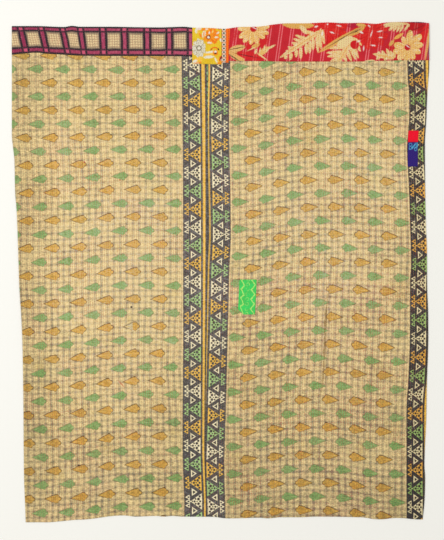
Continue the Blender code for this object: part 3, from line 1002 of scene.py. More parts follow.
# Where the border at the right side begins and where the middle one ends, in print units across
RIGHT_BORDER_FROM = 330.0
MIDDLE_BORDER_TO = 300.0


class SariFinish(ClothFinish):
    """The printed cotton of one old sari: plaid, rows of leaves and triangle borders."""

    def __init__(self, name):
        super().__init__(name + "_print")
        self.is_left = name == "left_sari"
        self.style = SARI_PRINTS[name]
        self.spot = self.plan()
        self.across, self.down, _ = self.spot.parts()
        self.grain = self.unsteady(self.map("grain"), 14.0, 0.05, 0.04)
        self.lines = woven_plaid(self.grain.vector("MULTIPLY", (*self.style["cells"], 0.0)))
        self.speckle = self.place.waver(300.0, 2.0, 0.7).ramp(2.4, -0.7)
        self.far_right = (RIGHT_BORDER_FROM - self.across).inside(1.0)

    def ground(self):
        """Uneven straw under the lines of the plaid, which are stronger further down."""
        tint = self.place.waver(6.0, 3.0, 0.6)
        straw = paint(
            self.colours.straw,
            (dye(246, 206, 158), tint.ramp(5.0, -2.6) * 0.5),
            (dye(240, 214, 132), tint.ramp(-5.0, 2.1)),
            (dye(214, 176, 116), self.speckle * 0.5))
        brown = self.place.waver(2.4).ramp(3.0, self.style["brown"])
        strength = self.down.scaled(0.00050, self.style["plaid"])
        line_shade = lay(self.colours.olive, dye(142, 104, 96), brown)
        return lay(straw, line_shade, (self.lines * strength).least(0.85))

    def leaves(self, ground):
        """Lay the green and the mustard leaves over the ground, each a little out of place."""
        column, row, _ = self.grain.parts()
        first, last = self.style["columns"]
        cell_across, cell_down = self.style["cells"]
        bleached = (abs(self.across - 115.6) - 5.1).inside(0.5) * (abs(self.down - 303.0) - 6.0).inside(0.5)
        for shift_x, shift_y, leaf, deep, rim, rim_strength, vein_shade in (
            (0.0, 0.0, self.colours.green, dye(134, 182, 98), dye(84, 104, 62), 0.6, dye(172, 204, 128)),
            (0.5 + self.style["mustard_off"], 0.5, self.colours.mustard, dye(236, 180, 74),
             dye(92, 64, 34), 0.95, dye(250, 208, 104)),
        ):
            near_column = (column - shift_x).cell()
            near_row = (row - shift_y).cell()
            from_middle = abs(near_column + shift_x - (first + last) / 2)
            in_field = (from_middle - (last - first) / 2).inside(0.1)
            luck = joined(near_column, near_row, shift_y).chance()
            forward = (column - shift_x - near_column) * (self.style["tips"] * cell_across) + LEAF_MIDDLE
            aside = (row - shift_y - near_row) * cell_down
            aside = aside + (forward - LEAF_MIDDLE) * luck.scaled(0.10, -0.05)
            fill, edge, vein = leaf_print(joined(forward, aside, luck * 7.0))
            body = paint(
                leaf,
                (deep, luck * 0.45 + near_row.ramp(0.025, -0.05)),
                (rim, (self.lines * 0.14 + self.speckle * 0.26).least(0.5)))
            if self.is_left and shift_y:
                body = lay(body, dye(222, 206, 160), bleached)
            ground = paint(
                ground,
                (rim, edge * in_field * rim_strength),
                (body, fill * in_field * luck.scaled(0.16, 0.80)),
                (vein_shade, vein * fill * in_field * 0.5))
        return ground

    def borders(self, ground):
        """Lay the triangle borders and their stripes over the ground; gives their mask too."""
        from_base, counted, _ = self.map("border").parts()
        from_base = from_base + self.place.waver(60.0).scaled(0.05, -0.025)
        green, gold = dye(172, 209, 132), self.colours.marigold
        if self.is_left:
            triangles = ((green, green), (gold, gold))
        else:
            triangles = ((gold, dye(240, 180, 74)), (green, dye(162, 194, 110)))
        shades = ((self.colours.cream, dye(246, 230, 178)), *triangles, (self.colours.ink, dye(54, 55, 54)))
        band = triangle_border(
            joined(from_base, counted), *(lay(middle, right, self.far_right) for middle, right in shades))
        if self.is_left:
            band = self.left_stripes(band, from_base, counted)
        else:
            band = self.right_stripes(band, from_base)
        light_line = (abs(from_base - FIELD_EDGE - 0.07) - 0.045).inside(0.05)
        in_border = (from_base - FIELD_EDGE).inside(0.04)
        return paint(ground, (dye(250, 222, 162), light_line * 0.6), (band, in_border)), in_border

    def left_stripes(self, band, from_base, counted):
        """A marigold stripe beside the triangles, and a row of green scallops along the seam."""
        narrower = self.down.ramp(1.0 / 490.0) * 0.075
        stripe = abs(from_base - narrower + 0.315) + narrower - 0.14
        scallops_per_triangle = 18.2 / 5.6
        bulge = abs((counted * (scallops_per_triangle * np.pi)).math("SINE")) * 0.09
        scallops = abs(from_base + 0.73 - bulge * 0.5) - 0.02 - bulge * 0.55
        return paint(
            band,
            (self.colours.marigold, stripe.inside(0.05)),
            (self.colours.green, scallops.inside(0.05)))

    def right_stripes(self, band, from_base):
        """One stripe beside each border: worn in the middle, in places hidden by the right hem."""
        in_middle = (self.across - MIDDLE_BORDER_TO).inside(1.0)
        widen = self.down.ramp(-0.025, 1.6) * (1.0 - in_middle)
        centre = from_base + 0.29 - in_middle * 0.02 + widen * 0.10
        stripe = (abs(centre) - 0.09 + in_middle * 0.02 - widen * 0.05).inside(0.05)
        worn = (self.down - 96.0).ramp(0.2) * in_middle
        hidden = (abs(self.down - 224.0) - 138.0).inside(14.0).most((432.0 - self.down).inside(12.0))
        shade = lay(self.colours.marigold, dye(124, 112, 62), worn * 0.35)
        return lay(band, shade, stripe * (1.0 - hidden * self.far_right * 0.9))

    def flecks(self, colour, in_border):
        """Lay the ends of the stitches and flecks of coloured thread over the print."""
        plain = in_border.scaled(-0.6, 1.0)
        red_share = self.place.waver(4.0, 3.0, 0.6).ramp(2.2, -0.7)
        fleck = self.place.waver(150.0, 1.0)
        return paint(
            colour,
            (dye(196, 84, 56), self.speck * red_share.scaled(0.8, 0.2) * plain),
            (dye(196, 78, 62), fleck.ramp(8.0, -4.6) * red_share.scaled(*self.style["red_flecks"]) * plain),
            (dye(120, 122, 84), fleck.ramp(-8.0, 3.4) * plain * self.style["olive_flecks"]))

    def tone_with_painted_shade(self, in_border):
        """How light the cloth is, with its stained and faded places and the creases of its folding."""
        light = reduce(Wire.__mul__, (
            soft_spot(self.spot, (across, down, 0.0), (reach_x, reach_y, 1.0)).scaled(-darker, 1.0)
            for across, down, reach_x, reach_y, darker in TONES))
        tone = self.tone * (light + (1.0 - light) * in_border * 0.45)
        tone = tone * (in_border * (1.0 - self.far_right)).scaled(0.09, 1.0)
        tone = tone * self.place.vector("MULTIPLY", (0.75, 1.35, 1.0)).waver(140.0, 1.0).scaled(1.35, 0.35)
        # Painted shade along each crease: a narrow line darkened by up to 16%.
        for crease_down, start, end, _ in CREASES:
            off = (abs(self.down - crease_down / PRINT_UNIT) - 0.2).inside(1.6)
            middle, reach = (start + end) / 2 / PRINT_UNIT, (end - start) / 2 / PRINT_UNIT
            tone = tone * (off * (abs(self.across - middle) - reach).inside(9.0)).scaled(-0.16, 1.0)
        return tone

    def made(self):
        """The material, painted from its ground to its wear."""
        colour, in_border = self.borders(self.leaves(self.ground()))
        colour = self.flecks(colour, in_border)
        if self.is_left:
            colour = paint_strokes(colour, self.spot, STAINS)
        else:
            colour = paint_strokes(colour, self.unsteady(self.spot, 60.0, 2.0, 2.0), FOLD_LINES, 0.65)
        tone = self.tone_with_painted_shade(in_border)
        # The tone, with its painted shade, darkens the colour towards black, and lightens it towards white
        # where it passes 1.
        colour = paint(colour, (BLACK, 1.0 - tone.least(1.0)), (WHITE, tone.ramp(1.0, -1.0) * 0.3))
        return self.close(colour, self.height)


# --- Finishes of the other cloths ----------------------------------------------------------------

def plain_finish(name, shade):
    """Plain cotton on which the ends of the stitches show."""
    finish = ClothFinish(name)
    return finish.done(lay(shade, dye(246, 236, 212), finish.speck * 0.8))


# The check band: where its bars cross each place across, at the middle of the band, and how much
# further right they stand at its lower edge
CHECK_BARS = (
    # across  bar
    (0.0506,  0), (0.1408,  1), (0.2358,  2), (0.3084,  3), (0.4022,  4),
    (0.4959,  5), (0.5958,  6), (0.6926,  7), (0.7863,  8),
)
CHECK_LEAN = ((0.0, 0.028), (0.230, 0.027), (0.310, 0.018), (0.400, 0.006), (0.862, 0.0))


def check_finish(name):
    """Woven check of magenta and black bars over beige squares."""
    finish = ClothFinish(name)
    bar, share, _ = finish.unsteady(finish.map("check"), 30.0, 0.06, 0.05).parts()
    off = abs(bar.off_cell())
    up_bar = (off - 0.078).inside(0.04)
    up_line = (off - 0.188).inside(0.06)
    from_bars = abs(abs(share - 0.4835) - 0.3985)
    cross_bar = (from_bars - 0.053).inside(0.04)
    cross_line = (from_bars - 0.124).inside(0.06)
    shadow = (off - 0.235).inside(0.10).most((from_bars - 0.170).inside(0.09))
    crossing_line = ((up_line - up_bar) * cross_bar).most((cross_line - cross_bar) * up_bar)
    rim = (share - 0.962).ramp(30.0).most((0.035 - share).ramp(30.0))

    fine_x = abs((bar * 8.6).off_cell())
    fine_y = abs((share * 11.5).off_cell())
    fine = (fine_x - 0.14).inside(0.26).most((fine_y - 0.14).inside(0.26))
    red_knots = (fine_x - 0.2).inside(0.2) * (fine_y - 0.2).inside(0.2)
    patchy = finish.place.waver(70.0)
    streak = finish.place.vector("MULTIPLY", (1.0, 0.35, 1.0)).waver(240.0)
    bars = paint(
        finish.colours.magenta,
        (dye(196, 88, 114), bar.ramp(0.09, 0.02)),
        (dye(218, 130, 148), streak.ramp(4.0, -2.2) * 0.6),
        (dye(104, 26, 54), streak.ramp(-4.0, 1.8) * 0.6))
    return finish.done(paint(
        dye(230, 204, 154),
        (dye(134, 112, 86), fine * patchy.ramp(1.6, -0.2)),
        (dye(176, 70, 60), red_knots * patchy.ramp(-4.0, 2.3) * 0.7),
        (dye(84, 74, 74), shadow * 0.75),
        (dye(36, 32, 38), up_line.most(cross_line)),
        (bars, up_bar.most(cross_bar)),
        (dye(40, 34, 42), crossing_line.most(0.0)),
        (dye(214, 92, 120), up_bar * cross_bar * 0.8),
        (dye(38, 34, 40), rim)))


# Shades that the printed bands use more than once
YELLOW = dye(238, 202, 44)
MILK = dye(236, 228, 208)
ORANGE = dye(250, 138, 22)
AMBER = dye(252, 198, 76)
RUST = dye(176, 70, 16)
SOOT = dye(40, 28, 20)
FLAME = dye(240, 96, 14)
POPPY = dye(212, 30, 34)
CREAM_GOLD = dye(232, 186, 106)
PALE_GOLD = dye(232, 208, 148)
SCARLET = dye(214, 24, 22)
BOTTLE = dye(66, 52, 28)
GOLD = dye(222, 170, 84)

# Strokes of the floral patch under, on and over its flowers: across, down, half length, half width, turn
# and colour
FLORAL_UNDER = (
    (184.8, 8.2, 3.4, 1.6, 75.0, MILK), (187.6, 6.8, 1.8, 1.4, 0.0, dye(240, 210, 196)),
    (186.6, 10.6, 2.8, 0.9, -65.0, AMBER), (188.7, 13.8, 2.6, 1.0, -60.0, ORANGE),
    (183.0, 14.0, 2.3, 2.2, 0.0, YELLOW), (191.4, 12.4, 3.4, 1.2, 82.0, MILK),
    (191.8, 7.6, 2.6, 1.2, 20.0, ORANGE), (209.0, 18.4, 2.0, 1.2, -60.0, MILK),
    (185.6, 37.6, 4.2, 1.8, 25.0, AMBER), (183.0, 39.6, 2.4, 1.5, 30.0, MILK),
    (184.8, 41.3, 3.0, 0.9, 10.0, dye(246, 176, 120)), (188.8, 38.6, 2.8, 1.1, 70.0, AMBER),
    (188.2, 40.8, 1.2, 0.8, 0.0, ORANGE), (198.0, 30.4, 5.0, 1.1, 8.0, MILK),
    (197.4, 32.6, 6.4, 1.2, 8.0, AMBER), (196.6, 35.2, 5.6, 1.4, 5.0, MILK),
    (204.0, 38.4, 3.2, 0.8, -65.0, MILK), (206.2, 38.8, 3.0, 0.6, -70.0, AMBER),
    (201.0, 41.4, 2.6, 0.9, 10.0, YELLOW), (207.8, 41.3, 2.6, 1.0, 10.0, ORANGE),
)
FLORAL_STAMENS = ((193.2, 11.7, 2.5, 0.6, 86.0, MILK), (197.4, 10.9, 1.4, 0.8, 70.0, MILK))
FLORAL_OVER = (
    (205.6, 11.2, 1.7, 0.9, 30.0, MILK), (204.3, 15.5, 1.7, 0.9, 5.0, MILK),
    (197.6, 21.0, 2.3, 1.0, -8.0, MILK), (194.7, 7.4, 1.4, 0.9, 0.0, dye(244, 214, 200)),
    (200.6, 9.8, 1.6, 0.7, 75.0, dye(248, 214, 120)), (207.0, 6.8, 1.7, 0.8, -20.0, dye(206, 60, 50)),
    (201.0, 18.8, 2.8, 0.7, -40.0, dye(240, 110, 16)), (203.6, 19.6, 2.2, 0.6, 65.0, dye(240, 110, 16)),
    (199.0, 8.2, 2.4, 0.6, 80.0, dye(238, 112, 16)), (202.8, 12.6, 2.4, 0.6, 40.0, dye(238, 112, 16)),
    (203.5, 31.0, 2.6, 2.9, 0.0, ORANGE), (203.5, 30.0, 1.35, 1.2, 0.0, MILK),
    (203.5, 31.6, 1.5, 0.75, 0.0, SOOT), (199.2, 27.6, 1.0, 0.6, 60.0, RUST),
    (206.6, 27.6, 1.1, 0.6, -60.0, SOOT), (208.6, 36.9, 2.9, 1.7, 72.0, FLAME),
    (208.9, 36.6, 1.9, 0.8, 72.0, SOOT), (209.6, 38.0, 1.2, 0.6, 72.0, MILK),
    (197.7, 14.3, 0.75, 0.65, 0.0, SOOT),
)


def floral_finish(name):
    """Yellow cotton with loosely painted flowers."""
    finish = ClothFinish(name)
    plan = finish.unsteady(finish.plan(), 210.0, 1.5, 1.5)
    fleck = finish.place.waver(230.0)
    colour = lay(YELLOW, dye(226, 184, 30), finish.place.waver(35.0, 3.0).ramp(2.0, -0.6))
    colour = paint_strokes(colour, plan, FLORAL_UNDER)

    grey_heart = (187.0, 26.4, 0.0)
    ring = plan.vector("DISTANCE", grey_heart)
    petal, streak, fold = flower_head(
        plan.vector("MULTIPLY", (1.25, 0.92, 0.0)), (233.8, 24.3, 0.0), 8.6, 9.0, 0.3, 0.22)
    colour = paint(
        colour,
        (dye(226, 220, 194), petal),
        (dye(160, 140, 104), petal * streak.most(fold) * 0.7),
        (dye(240, 238, 226), petal * fleck.ramp(9.0, -4.7) * 0.9),
        (dye(140, 118, 84), petal * fleck.ramp(-9.0, 3.7) * 0.8),
        (dye(104, 92, 62), (abs(ring - 2.2) - 0.55).inside(0.7) * 0.9),
        (MILK, (ring - 1.4).inside(0.8)))

    petal, streak, fold = flower_head(plan, (199.6, 14.4, 0.0), 8.8, 8.0, 0.5, 0.34)
    arc = (abs(plan.vector("DISTANCE", (202.7, 30.2, 0.0)) - 4.4) - 0.55).inside(0.6)
    colour = paint(
        colour,
        (ORANGE, petal),
        (dye(244, 184, 36), petal * streak * 0.9),
        (FLAME, petal * fold * 0.7),
        (FLAME, arc * (28.6 - plan.parts()[1]).ramp(2.0)))
    colour = paint_strokes(colour, plan, FLORAL_STAMENS)
    ring = plan.vector("DISTANCE", (196.5, 15.5, 0.0))
    colour = paint(colour, (RUST, (ring - 2.4).inside(0.6)), (MILK, (ring - 1.35).inside(0.7)))
    return finish.done(paint_strokes(colour, plan, FLORAL_OVER))


def dotted_finish(name):
    """A brown strip with a row of ringed dots and an orange edge."""
    finish = ClothFinish(name)
    side, down, _ = finish.map("strip").parts()
    dot_pitch, dots_at = 3.8, 0.31
    ring = joined((side - dots_at) * 6.9, (down / dot_pitch).off_cell() * dot_pitch).vector("LENGTH")
    return finish.done(paint(
        dye(236, 160, 118),
        (dye(186, 120, 94), finish.place.waver(120.0)),
        (dye(96, 84, 78), (abs(side - dots_at) - 0.25).ramp(9.0)),
        (dye(236, 230, 206), (ring - 1.6).inside(0.5)),
        (dye(30, 26, 24), (ring - 0.95).inside(0.5)),
        (dye(252, 112, 16), (side - 0.63).ramp(14.0, 0.5))))


# Ferns of the red band: leaflet half width, the stem from its root to its tip, the leaflet tips
RED_FERNS = (
    (2.1, ((309.0, 8.5), (297.6, 19.4), (288.5, 25.4), (279.8, 31.0), (267.5, 36.0)),
     ((282.8, 13.2), (281.0, 16.8), (279.4, 20.6), (275.6, 24.8), (273.8, 28.6), (271.5, 32.0),
      (290.0, 9.0), (307.6, 8.0), (311.4, 10.6), (312.0, 16.0), (312.2, 22.4), (309.0, 27.6),
      (305.9, 31.0), (301.0, 28.6), (297.5, 32.0), (294.0, 32.5), (288.6, 37.4), (284.0, 35.6),
      (278.0, 38.4), (273.0, 37.6))),
    (2.2, ((341.0, 16.0), (336.0, 24.0), (331.0, 32.0), (326.0, 40.5)),
     ((319.4, 22.0), (316.0, 26.4), (314.0, 31.2), (315.0, 34.6), (318.0, 39.5), (323.0, 41.0),
      (329.0, 41.5), (334.5, 40.0), (339.4, 39.6), (344.0, 38.4), (346.4, 36.8), (348.6, 30.0),
      (349.6, 23.6), (326.0, 17.0))),
    (1.9, ((382.0, 36.5), (374.0, 35.0), (367.0, 34.0), (360.6, 32.0)),
     ((366.0, 29.4), (369.6, 28.6), (374.2, 26.6), (378.0, 29.0), (381.6, 30.0), (364.0, 37.6),
      (372.0, 38.6))),
    (1.15, ((396.0, 1.8), (388.0, 3.6), (380.0, 4.2), (372.0, 2.6)),
     ((376.4, 8.8), (380.8, 9.2), (384.2, 9.8), (387.4, 10.4), (394.2, 7.8), (396.8, 5.2))),
)
# Scarlet flower heads
RED_FLOWERS = (
    # across down  radius petals turn notch
    (315.0,  5.5,  21.0,  13.0,  0.1, 0.30),
    (358.8,  11.0, 17.5,  12.0,  0.3, 0.34),
)
# Cream flower heads: the heart and its radius, then the end and half width of each petal
CREAM_FLOWERS = (
    ((241.4, 7.0), 3.3, (
        (225.6, 7.0, 3.2), (227.2, 16.0, 3.5), (231.5, 20.8, 2.9), (238.5, 23.0, 3.2), (245.5, 22.0, 3.6),
        (252.5, 16.6, 3.4), (256.8, 12.0, 2.9), (257.6, 4.5, 3.2), (228.0, -1.0, 3.4), (254.0, -1.0, 3.4))),
    ((395.2, 25.6), 3.0, (
        (398.6, 8.4, 3.6), (390.0, 15.0, 2.9), (409.0, 13.0, 4.4), (411.0, 22.6, 3.6), (408.6, 31.0, 3.4),
        (402.0, 37.6, 3.8), (394.4, 41.0, 4.0), (386.0, 38.0, 4.2), (381.0, 30.6, 3.8),
        (381.6, 22.8, 3.6))),
)
# Strokes of the red band: across, down, half length, half width, turn and colour
RED_UNDER = (
    (235.7, 23.7, 4.6, 3.0, 80.0, POPPY), (251.5, 19.7, 6.0, 4.4, 60.0, POPPY),
    (222.0, 14.0, 6.0, 3.0, 70.0, dye(206, 36, 48)), (259.5, 4.2, 4.0, 2.2, 40.0, POPPY),
    (402.0, 4.0, 11.0, 5.0, -10.0, dye(190, 14, 22)), (412.0, 13.0, 12.0, 3.6, 70.0, dye(220, 28, 30)),
    (380.0, 26.0, 8.0, 6.0, 30.0, dye(204, 22, 32)), (346.0, 3.0, 12.0, 3.4, 5.0, dye(184, 22, 52)),
)
RED_SPRAY = ((286.1, 3.2, 16.0, 4.0, -2.0, GOLD), (291.6, 8.0, 5.4, 2.4, -48.0, PALE_GOLD))
RED_LEAVES = (
    (225.2, 26.6, 8.4, 3.1, 12.0, dye(228, 184, 112)), (224.4, 34.6, 10.0, 3.6, -32.0, dye(226, 178, 102)),
    (239.5, 34.2, 15.5, 3.9, -9.0, POPPY), (243.6, 24.0, 4.4, 2.1, 25.0, GOLD),
    (239.3, 27.2, 3.8, 0.6, 25.0, PALE_GOLD), (251.6, 29.4, 6.4, 2.7, 40.0, CREAM_GOLD),
    (250.0, 34.8, 6.2, 0.75, -36.0, PALE_GOLD), (259.0, 25.4, 4.4, 1.0, 28.0, PALE_GOLD),
    (243.8, 29.6, 2.6, 1.2, 70.0, PALE_GOLD), (252.2, 26.6, 3.0, 0.9, 76.0, PALE_GOLD),
    (255.6, 27.8, 3.0, 0.9, 55.0, PALE_GOLD), (248.0, 28.6, 2.4, 0.8, 80.0, PALE_GOLD),
    (326.0, 19.0, 23.0, 2.5, 31.0, GOLD), (344.5, 9.6, 9.0, 2.6, 27.0, GOLD),
    (333.0, 20.0, 9.0, 4.4, 30.0, PALE_GOLD), (349.0, 3.4, 5.0, 1.8, -8.0, GOLD),
    (381.0, 2.6, 10.0, 2.4, 4.0, PALE_GOLD), (380.2, 6.6, 3.4, 0.8, 38.0, PALE_GOLD),
    (383.4, 7.0, 3.2, 0.7, 46.0, PALE_GOLD), (386.4, 7.6, 3.2, 0.7, 54.0, PALE_GOLD),
    (389.2, 7.8, 3.2, 0.7, 58.0, PALE_GOLD), (393.6, 6.4, 2.8, 0.8, 58.0, PALE_GOLD),
    (375.6, 4.0, 3.4, 1.0, 20.0, PALE_GOLD), (379.4, 21.2, 3.6, 1.7, 52.0, GOLD),
    (386.4, 14.4, 5.6, 1.7, 32.0, dye(236, 176, 84)), (357.0, 39.6, 6.0, 1.5, 8.0, PALE_GOLD),
    (415.4, 21.6, 17.5, 1.15, 81.5, dye(226, 172, 96)), (417.0, 26.0, 12.0, 0.45, 81.0, dye(104, 96, 116)),
)
RED_LINES = (
    (224.2, 26.6, 7.2, 0.45, 11.0, BOTTLE), (222.2, 36.0, 5.8, 0.5, -33.0, BOTTLE),
    (234.6, 33.8, 10.0, 0.4, -11.0, dye(96, 16, 16)), (330.0, 16.6, 14.0, 0.42, 31.0, BOTTLE),
    (344.4, 9.4, 4.2, 0.5, 27.0, BOTTLE), (405.4, 0.6, 6.4, 0.5, -3.0, dye(30, 30, 70)),
    (342.6, 22.9, 4.6, 4.3, 0.0, dye(206, 20, 26)), (328.6, 0.9, 3.0, 0.6, 3.0, dye(70, 20, 30)),
)
RED_DASHES = (
    (304.1, 4.9, 1.7, 0.8, 14.0), (315.4, 2.5, 0.8, 0.7, 0.0), (319.9, 10.8, 2.1, 0.7, -20.0),
    (310.2, 11.8, 2.1, 0.75, 84.0), (327.0, 4.1, 2.2, 0.6, -14.0), (357.0, 4.3, 1.4, 0.7, -42.0),
    (349.3, 10.6, 1.9, 0.85, -32.0), (359.2, 12.0, 2.9, 0.55, 72.0), (367.7, 9.6, 2.5, 0.7, 10.0),
    (368.3, 15.8, 1.8, 0.6, 0.0), (346.4, 19.5, 1.9, 0.75, 22.0), (361.0, 23.7, 2.2, 0.7, -8.0),
    (351.5, 26.6, 2.2, 0.6, 86.0), (242.4, 6.3, 2.6, 0.4, -24.0), (395.6, 24.6, 2.2, 0.4, -35.0),
)
# Painted shade along the fold of the red band near its right end
RED_FOLD_SHADE = ((405.0, 6.5, 11.0, 0.5, 24.0, dye(120, 8, 20)), (408.0, 11.0, 8.0, 0.5, 34.0, dye(120, 8, 20)))


def root_of(tip, stem):
    """Where a leaflet leaves its stem: back from the nearest place by two thirds of its distance."""
    stem = np.array(stem)
    lengths = np.concatenate(((0.0,), np.cumsum(np.hypot(*np.diff(stem, axis=0).T))))
    steps = np.linspace(0.0, lengths[-1], 60)
    spots = np.column_stack([np.interp(steps, lengths, stem[:, axis]) for axis in (0, 1)])
    off = np.hypot(*(spots - tip).T)
    nearest = int(np.argmin(off))
    root = np.interp(steps[nearest] - 0.66 * off[nearest], steps, np.arange(60))
    return tuple(float(part) for part in spots[int(root)])


def fern(colour, plan, gold, half_width, stem, tips):
    """Lay a fern over a colour: a broad middle leaf, its leaflets and its rib."""
    foot, top = ((*end, 0.0) for end in (stem[0], stem[-1]))
    frond = leaflet(plan, foot, top, half_width * 1.5)
    for tip in tips:
        frond = frond.most(leaflet(plan, (*root_of(tip, stem), 0.0), (*tip, 0.0), half_width))
    return paint(colour, (gold, frond), (dye(228, 160, 66), leaflet(plan, foot, top, 0.5) * 0.8))


def red_finish(name):
    """Crimson cotton with pink stripes, feathery fronds and big flowers."""
    finish = ClothFinish(name)
    x, y, _ = finish.plan().parts()
    plan = finish.unsteady(finish.plan(), 190.0, 1.3, 1.3)
    stripe_pitch = 11.2
    stripes = (x + y * 0.14 - 270.2) / stripe_pitch
    off = abs(abs(stripes.off_cell()) * stripe_pitch - 1.25)
    colour = paint(
        finish.colours.crimson,
        (dye(190, 28, 42), finish.place.waver(20.0, 3.0).ramp(2.0, -0.6)),
        (dye(238, 104, 116), (off - 0.45).inside(0.7) * 0.95),
        (dye(252, 112, 16), (x + y * 0.07 - 218.5).inside(0.6)))
    colour = paint_strokes(colour, plan, RED_UNDER)
    for across, down, *shape in RED_FLOWERS:
        petal, streak, fold = flower_head(plan, (across, down, 0.0), *shape)
        colour = paint(
            colour, (SCARLET, petal), (dye(238, 58, 44), petal * streak * 0.7),
            (dye(170, 10, 20), petal * fold * 0.7))
    colour = paint_strokes(colour, plan, RED_SPRAY)

    threads = finish.place.vector("MULTIPLY", (1.0, 0.25, 1.0)).waver(260.0, 2.0, 0.6)
    gold = paint(
        PALE_GOLD,
        (CREAM_GOLD, finish.place.waver(300.0).ramp(3.0, -1.1)),
        (dye(238, 232, 200), threads.ramp(6.0, -3.2) * 0.8),
        (dye(214, 156, 66), threads.ramp(-6.0, 2.7) * 0.7))
    for half_width, stem, tips in RED_FERNS:
        colour = fern(colour, plan, gold, half_width, stem, tips)
    colour = paint_strokes(colour, plan, RED_LEAVES)

    glint = finish.place.vector("MULTIPLY", (1.0, 0.6, 1.0)).waver(170.0).ramp(8.0, -4.6)
    for heart, radius, petals in CREAM_FLOWERS:
        centre = (*heart, 0.0)
        streak = flower_head(plan, centre, 18.0, 9.0, 0.0, 0.2)[1]
        for across, down, half_width in petals:
            tip = (across, down, 0.0)
            petal = leaflet(plan, tip, centre, half_width)
            far = (plan.vector("DISTANCE", centre) / 14.0).ramp(2.4, -1.0)
            colour = paint(
                colour,
                (dye(176, 92, 40), leaflet(plan, tip, centre, half_width + 0.5) * 0.45),
                (dye(238, 190, 104), petal),
                (dye(246, 224, 170), petal * streak * 0.8),
                (dye(236, 232, 222), petal * glint * far * 0.9),
                (dye(214, 150, 56), petal * threads.ramp(-7.0, 3.0) * 0.6))
        colour = lay(colour, dye(198, 24, 32), (plan.vector("DISTANCE", centre) - radius).inside(0.9))
    colour = paint_strokes(colour, plan, RED_LINES)
    worn_stripe = (off - 0.40).inside(0.6) * finish.place.waver(160.0).ramp(3.0, -1.0)
    colour = lay(colour, dye(246, 170, 150), worn_stripe * 0.35)
    # Painted shade along the fold near the band's right end
    colour = paint_strokes(colour, plan, RED_FOLD_SHADE, 0.55)
    return finish.done(paint_strokes(colour, plan, [(*dash, dye(238, 222, 214)) for dash in RED_DASHES]))


# The light scrolls of the navy mend, in print units from its corner: rings, then strokes
BLUE_RINGS = ((2.6, 2.5), (2.5, 5.8), (7.9, 7.0))
BLUE_SCROLLS = (
    (6.3, 3.4, 3.3, 0.75, 53.0, dye(84, 172, 208)), (9.4, 2.7, 2.2, 0.70, 88.0, dye(84, 172, 208)),
    (7.9, 5.3, 1.8, 0.70, 40.0, dye(96, 180, 214)), (4.3, 5.6, 1.6, 0.70, 78.0, dye(84, 172, 208)),
)


def mend_finish(name, shade):
    """Bright new cotton: green with pale zigzags and curls, navy with light scrolls, or plain red."""
    finish = ClothFinish(name)
    start, end, top, bottom, _ = MENDS[name]
    size = ((end - start) * 2.3, (bottom - top) / PRINT_UNIT, 0.0)
    x, y, _ = finish.unsteady(finish.map("patch").vector("MULTIPLY", size), 150.0, 1.6, 1.6).parts()
    if name == "blue_patch":
        centres = [joined(x - ring_x, y - ring_y).vector("LENGTH") for ring_x, ring_y in BLUE_RINGS]
        rings = reduce(Wire.least, [abs(centre - 1.35) - 0.30 for centre in centres])
        colour = lay(shade, dye(96, 24, 96), finish.place.waver(260.0).ramp(5.0, -2.9) * 0.6)
        colour = paint_strokes(colour, joined(x, y), BLUE_SCROLLS)
        return finish.done(lay(colour, dye(84, 172, 208), rings.inside(0.6) * 0.85))

    dull = finish.place.waver(90.0).ramp(3.0, -1.1)
    if name == "red_patch":
        return finish.done(lay(shade, dye(224, 0, 24), dull * 0.4))

    def zigzag(place, swing, start_down):
        share = abs(((y - start_down) / 9.6).off_cell())
        return (abs(x - (share * (4.0 * swing) - swing) - place) - 0.65).inside(0.7)

    curl_pitch = 4.9
    curl = abs(joined(x - 8.6, (y / curl_pitch).off_cell() * curl_pitch).vector("LENGTH") - 1.5) - 0.3
    curls = curl.inside(0.6) * finish.place.waver(60.0).ramp(4.0, -1.4) * 0.8
    lines = zigzag(3.6, 1.5, 1.0).most(zigzag(14.2, 1.9, 0.6)).most(curls)
    return finish.done(paint(shade, (dye(84, 178, 74), dull * 0.6), (dye(190, 238, 122), lines * 0.9)))


# The cloths that the thread runs through, and the colour that it takes on from each but the saris
THREAD_SHADES = {
    "check": dye(196, 96, 116), "floral": dye(230, 190, 84), "strip": dye(170, 110, 84),
    "red": dye(206, 52, 60), "green_patch": dye(120, 214, 110), "red_patch": dye(214, 50, 50),
    "blue_patch": dye(60, 60, 150),
}
THREADS = ("cloth", *THREAD_SHADES)


def thread_finish():
    """Quilting thread, which takes on the colours of the cloths that it runs through."""
    finish = Finish("quilting_thread", 0.8)
    luck, region, _ = finish.map("threads").parts()
    red_share = finish.place.waver(4.0, 3.0, 0.6).ramp(2.2, -0.7)
    colour = lay(finish.colours.thread, dye(176, 92, 72), (luck - red_share).inside(0.1))
    for cloth, shade in THREAD_SHADES.items():
        off = abs(region * len(THREADS) - float(THREADS.index(cloth)))
        colour = lay(colour, shade, (off - 0.4).inside(0.1))
    return finish.close(colour, finish.place.waver(1500.0), 0.0002)


# --- Pieces --------------------------------------------------------------------------------------

# How far the saris' top edges lie under the turned edges of the bands, and how round the edges are
TOP_TUCK = 0.0036
BACK_TUCK = 0.0015
HEM_ROUNDING = 0.0042
PATCH_ROUNDING = 0.0025
BAND_ROUNDING = 0.0030
# The bands turn down over the top hem in a small arc, and the hems pucker from stitch to stitch
TURN_RADIUS = 0.0045
TOP_PUCKER = 0.0007
BOTTOM_PUCKER = 0.00048
# Spacing of the meshes: columns of the bands in stitch rows, and rows of the mends in metres
BAND_COLUMN = 0.25
MEND_ROW = 0.006
# Length of the sari cloths and of the back cloth when laid flat
FLAT_LENGTH = 2.18
# Every row of running stitch has a stitch on each beat, up to the one past the bottom hem, and keeps
# clear of the hems
LAST_BEAT = 226
CLEAR_OF_TOP = 0.010
CLEAR_OF_BOTTOM = 0.006


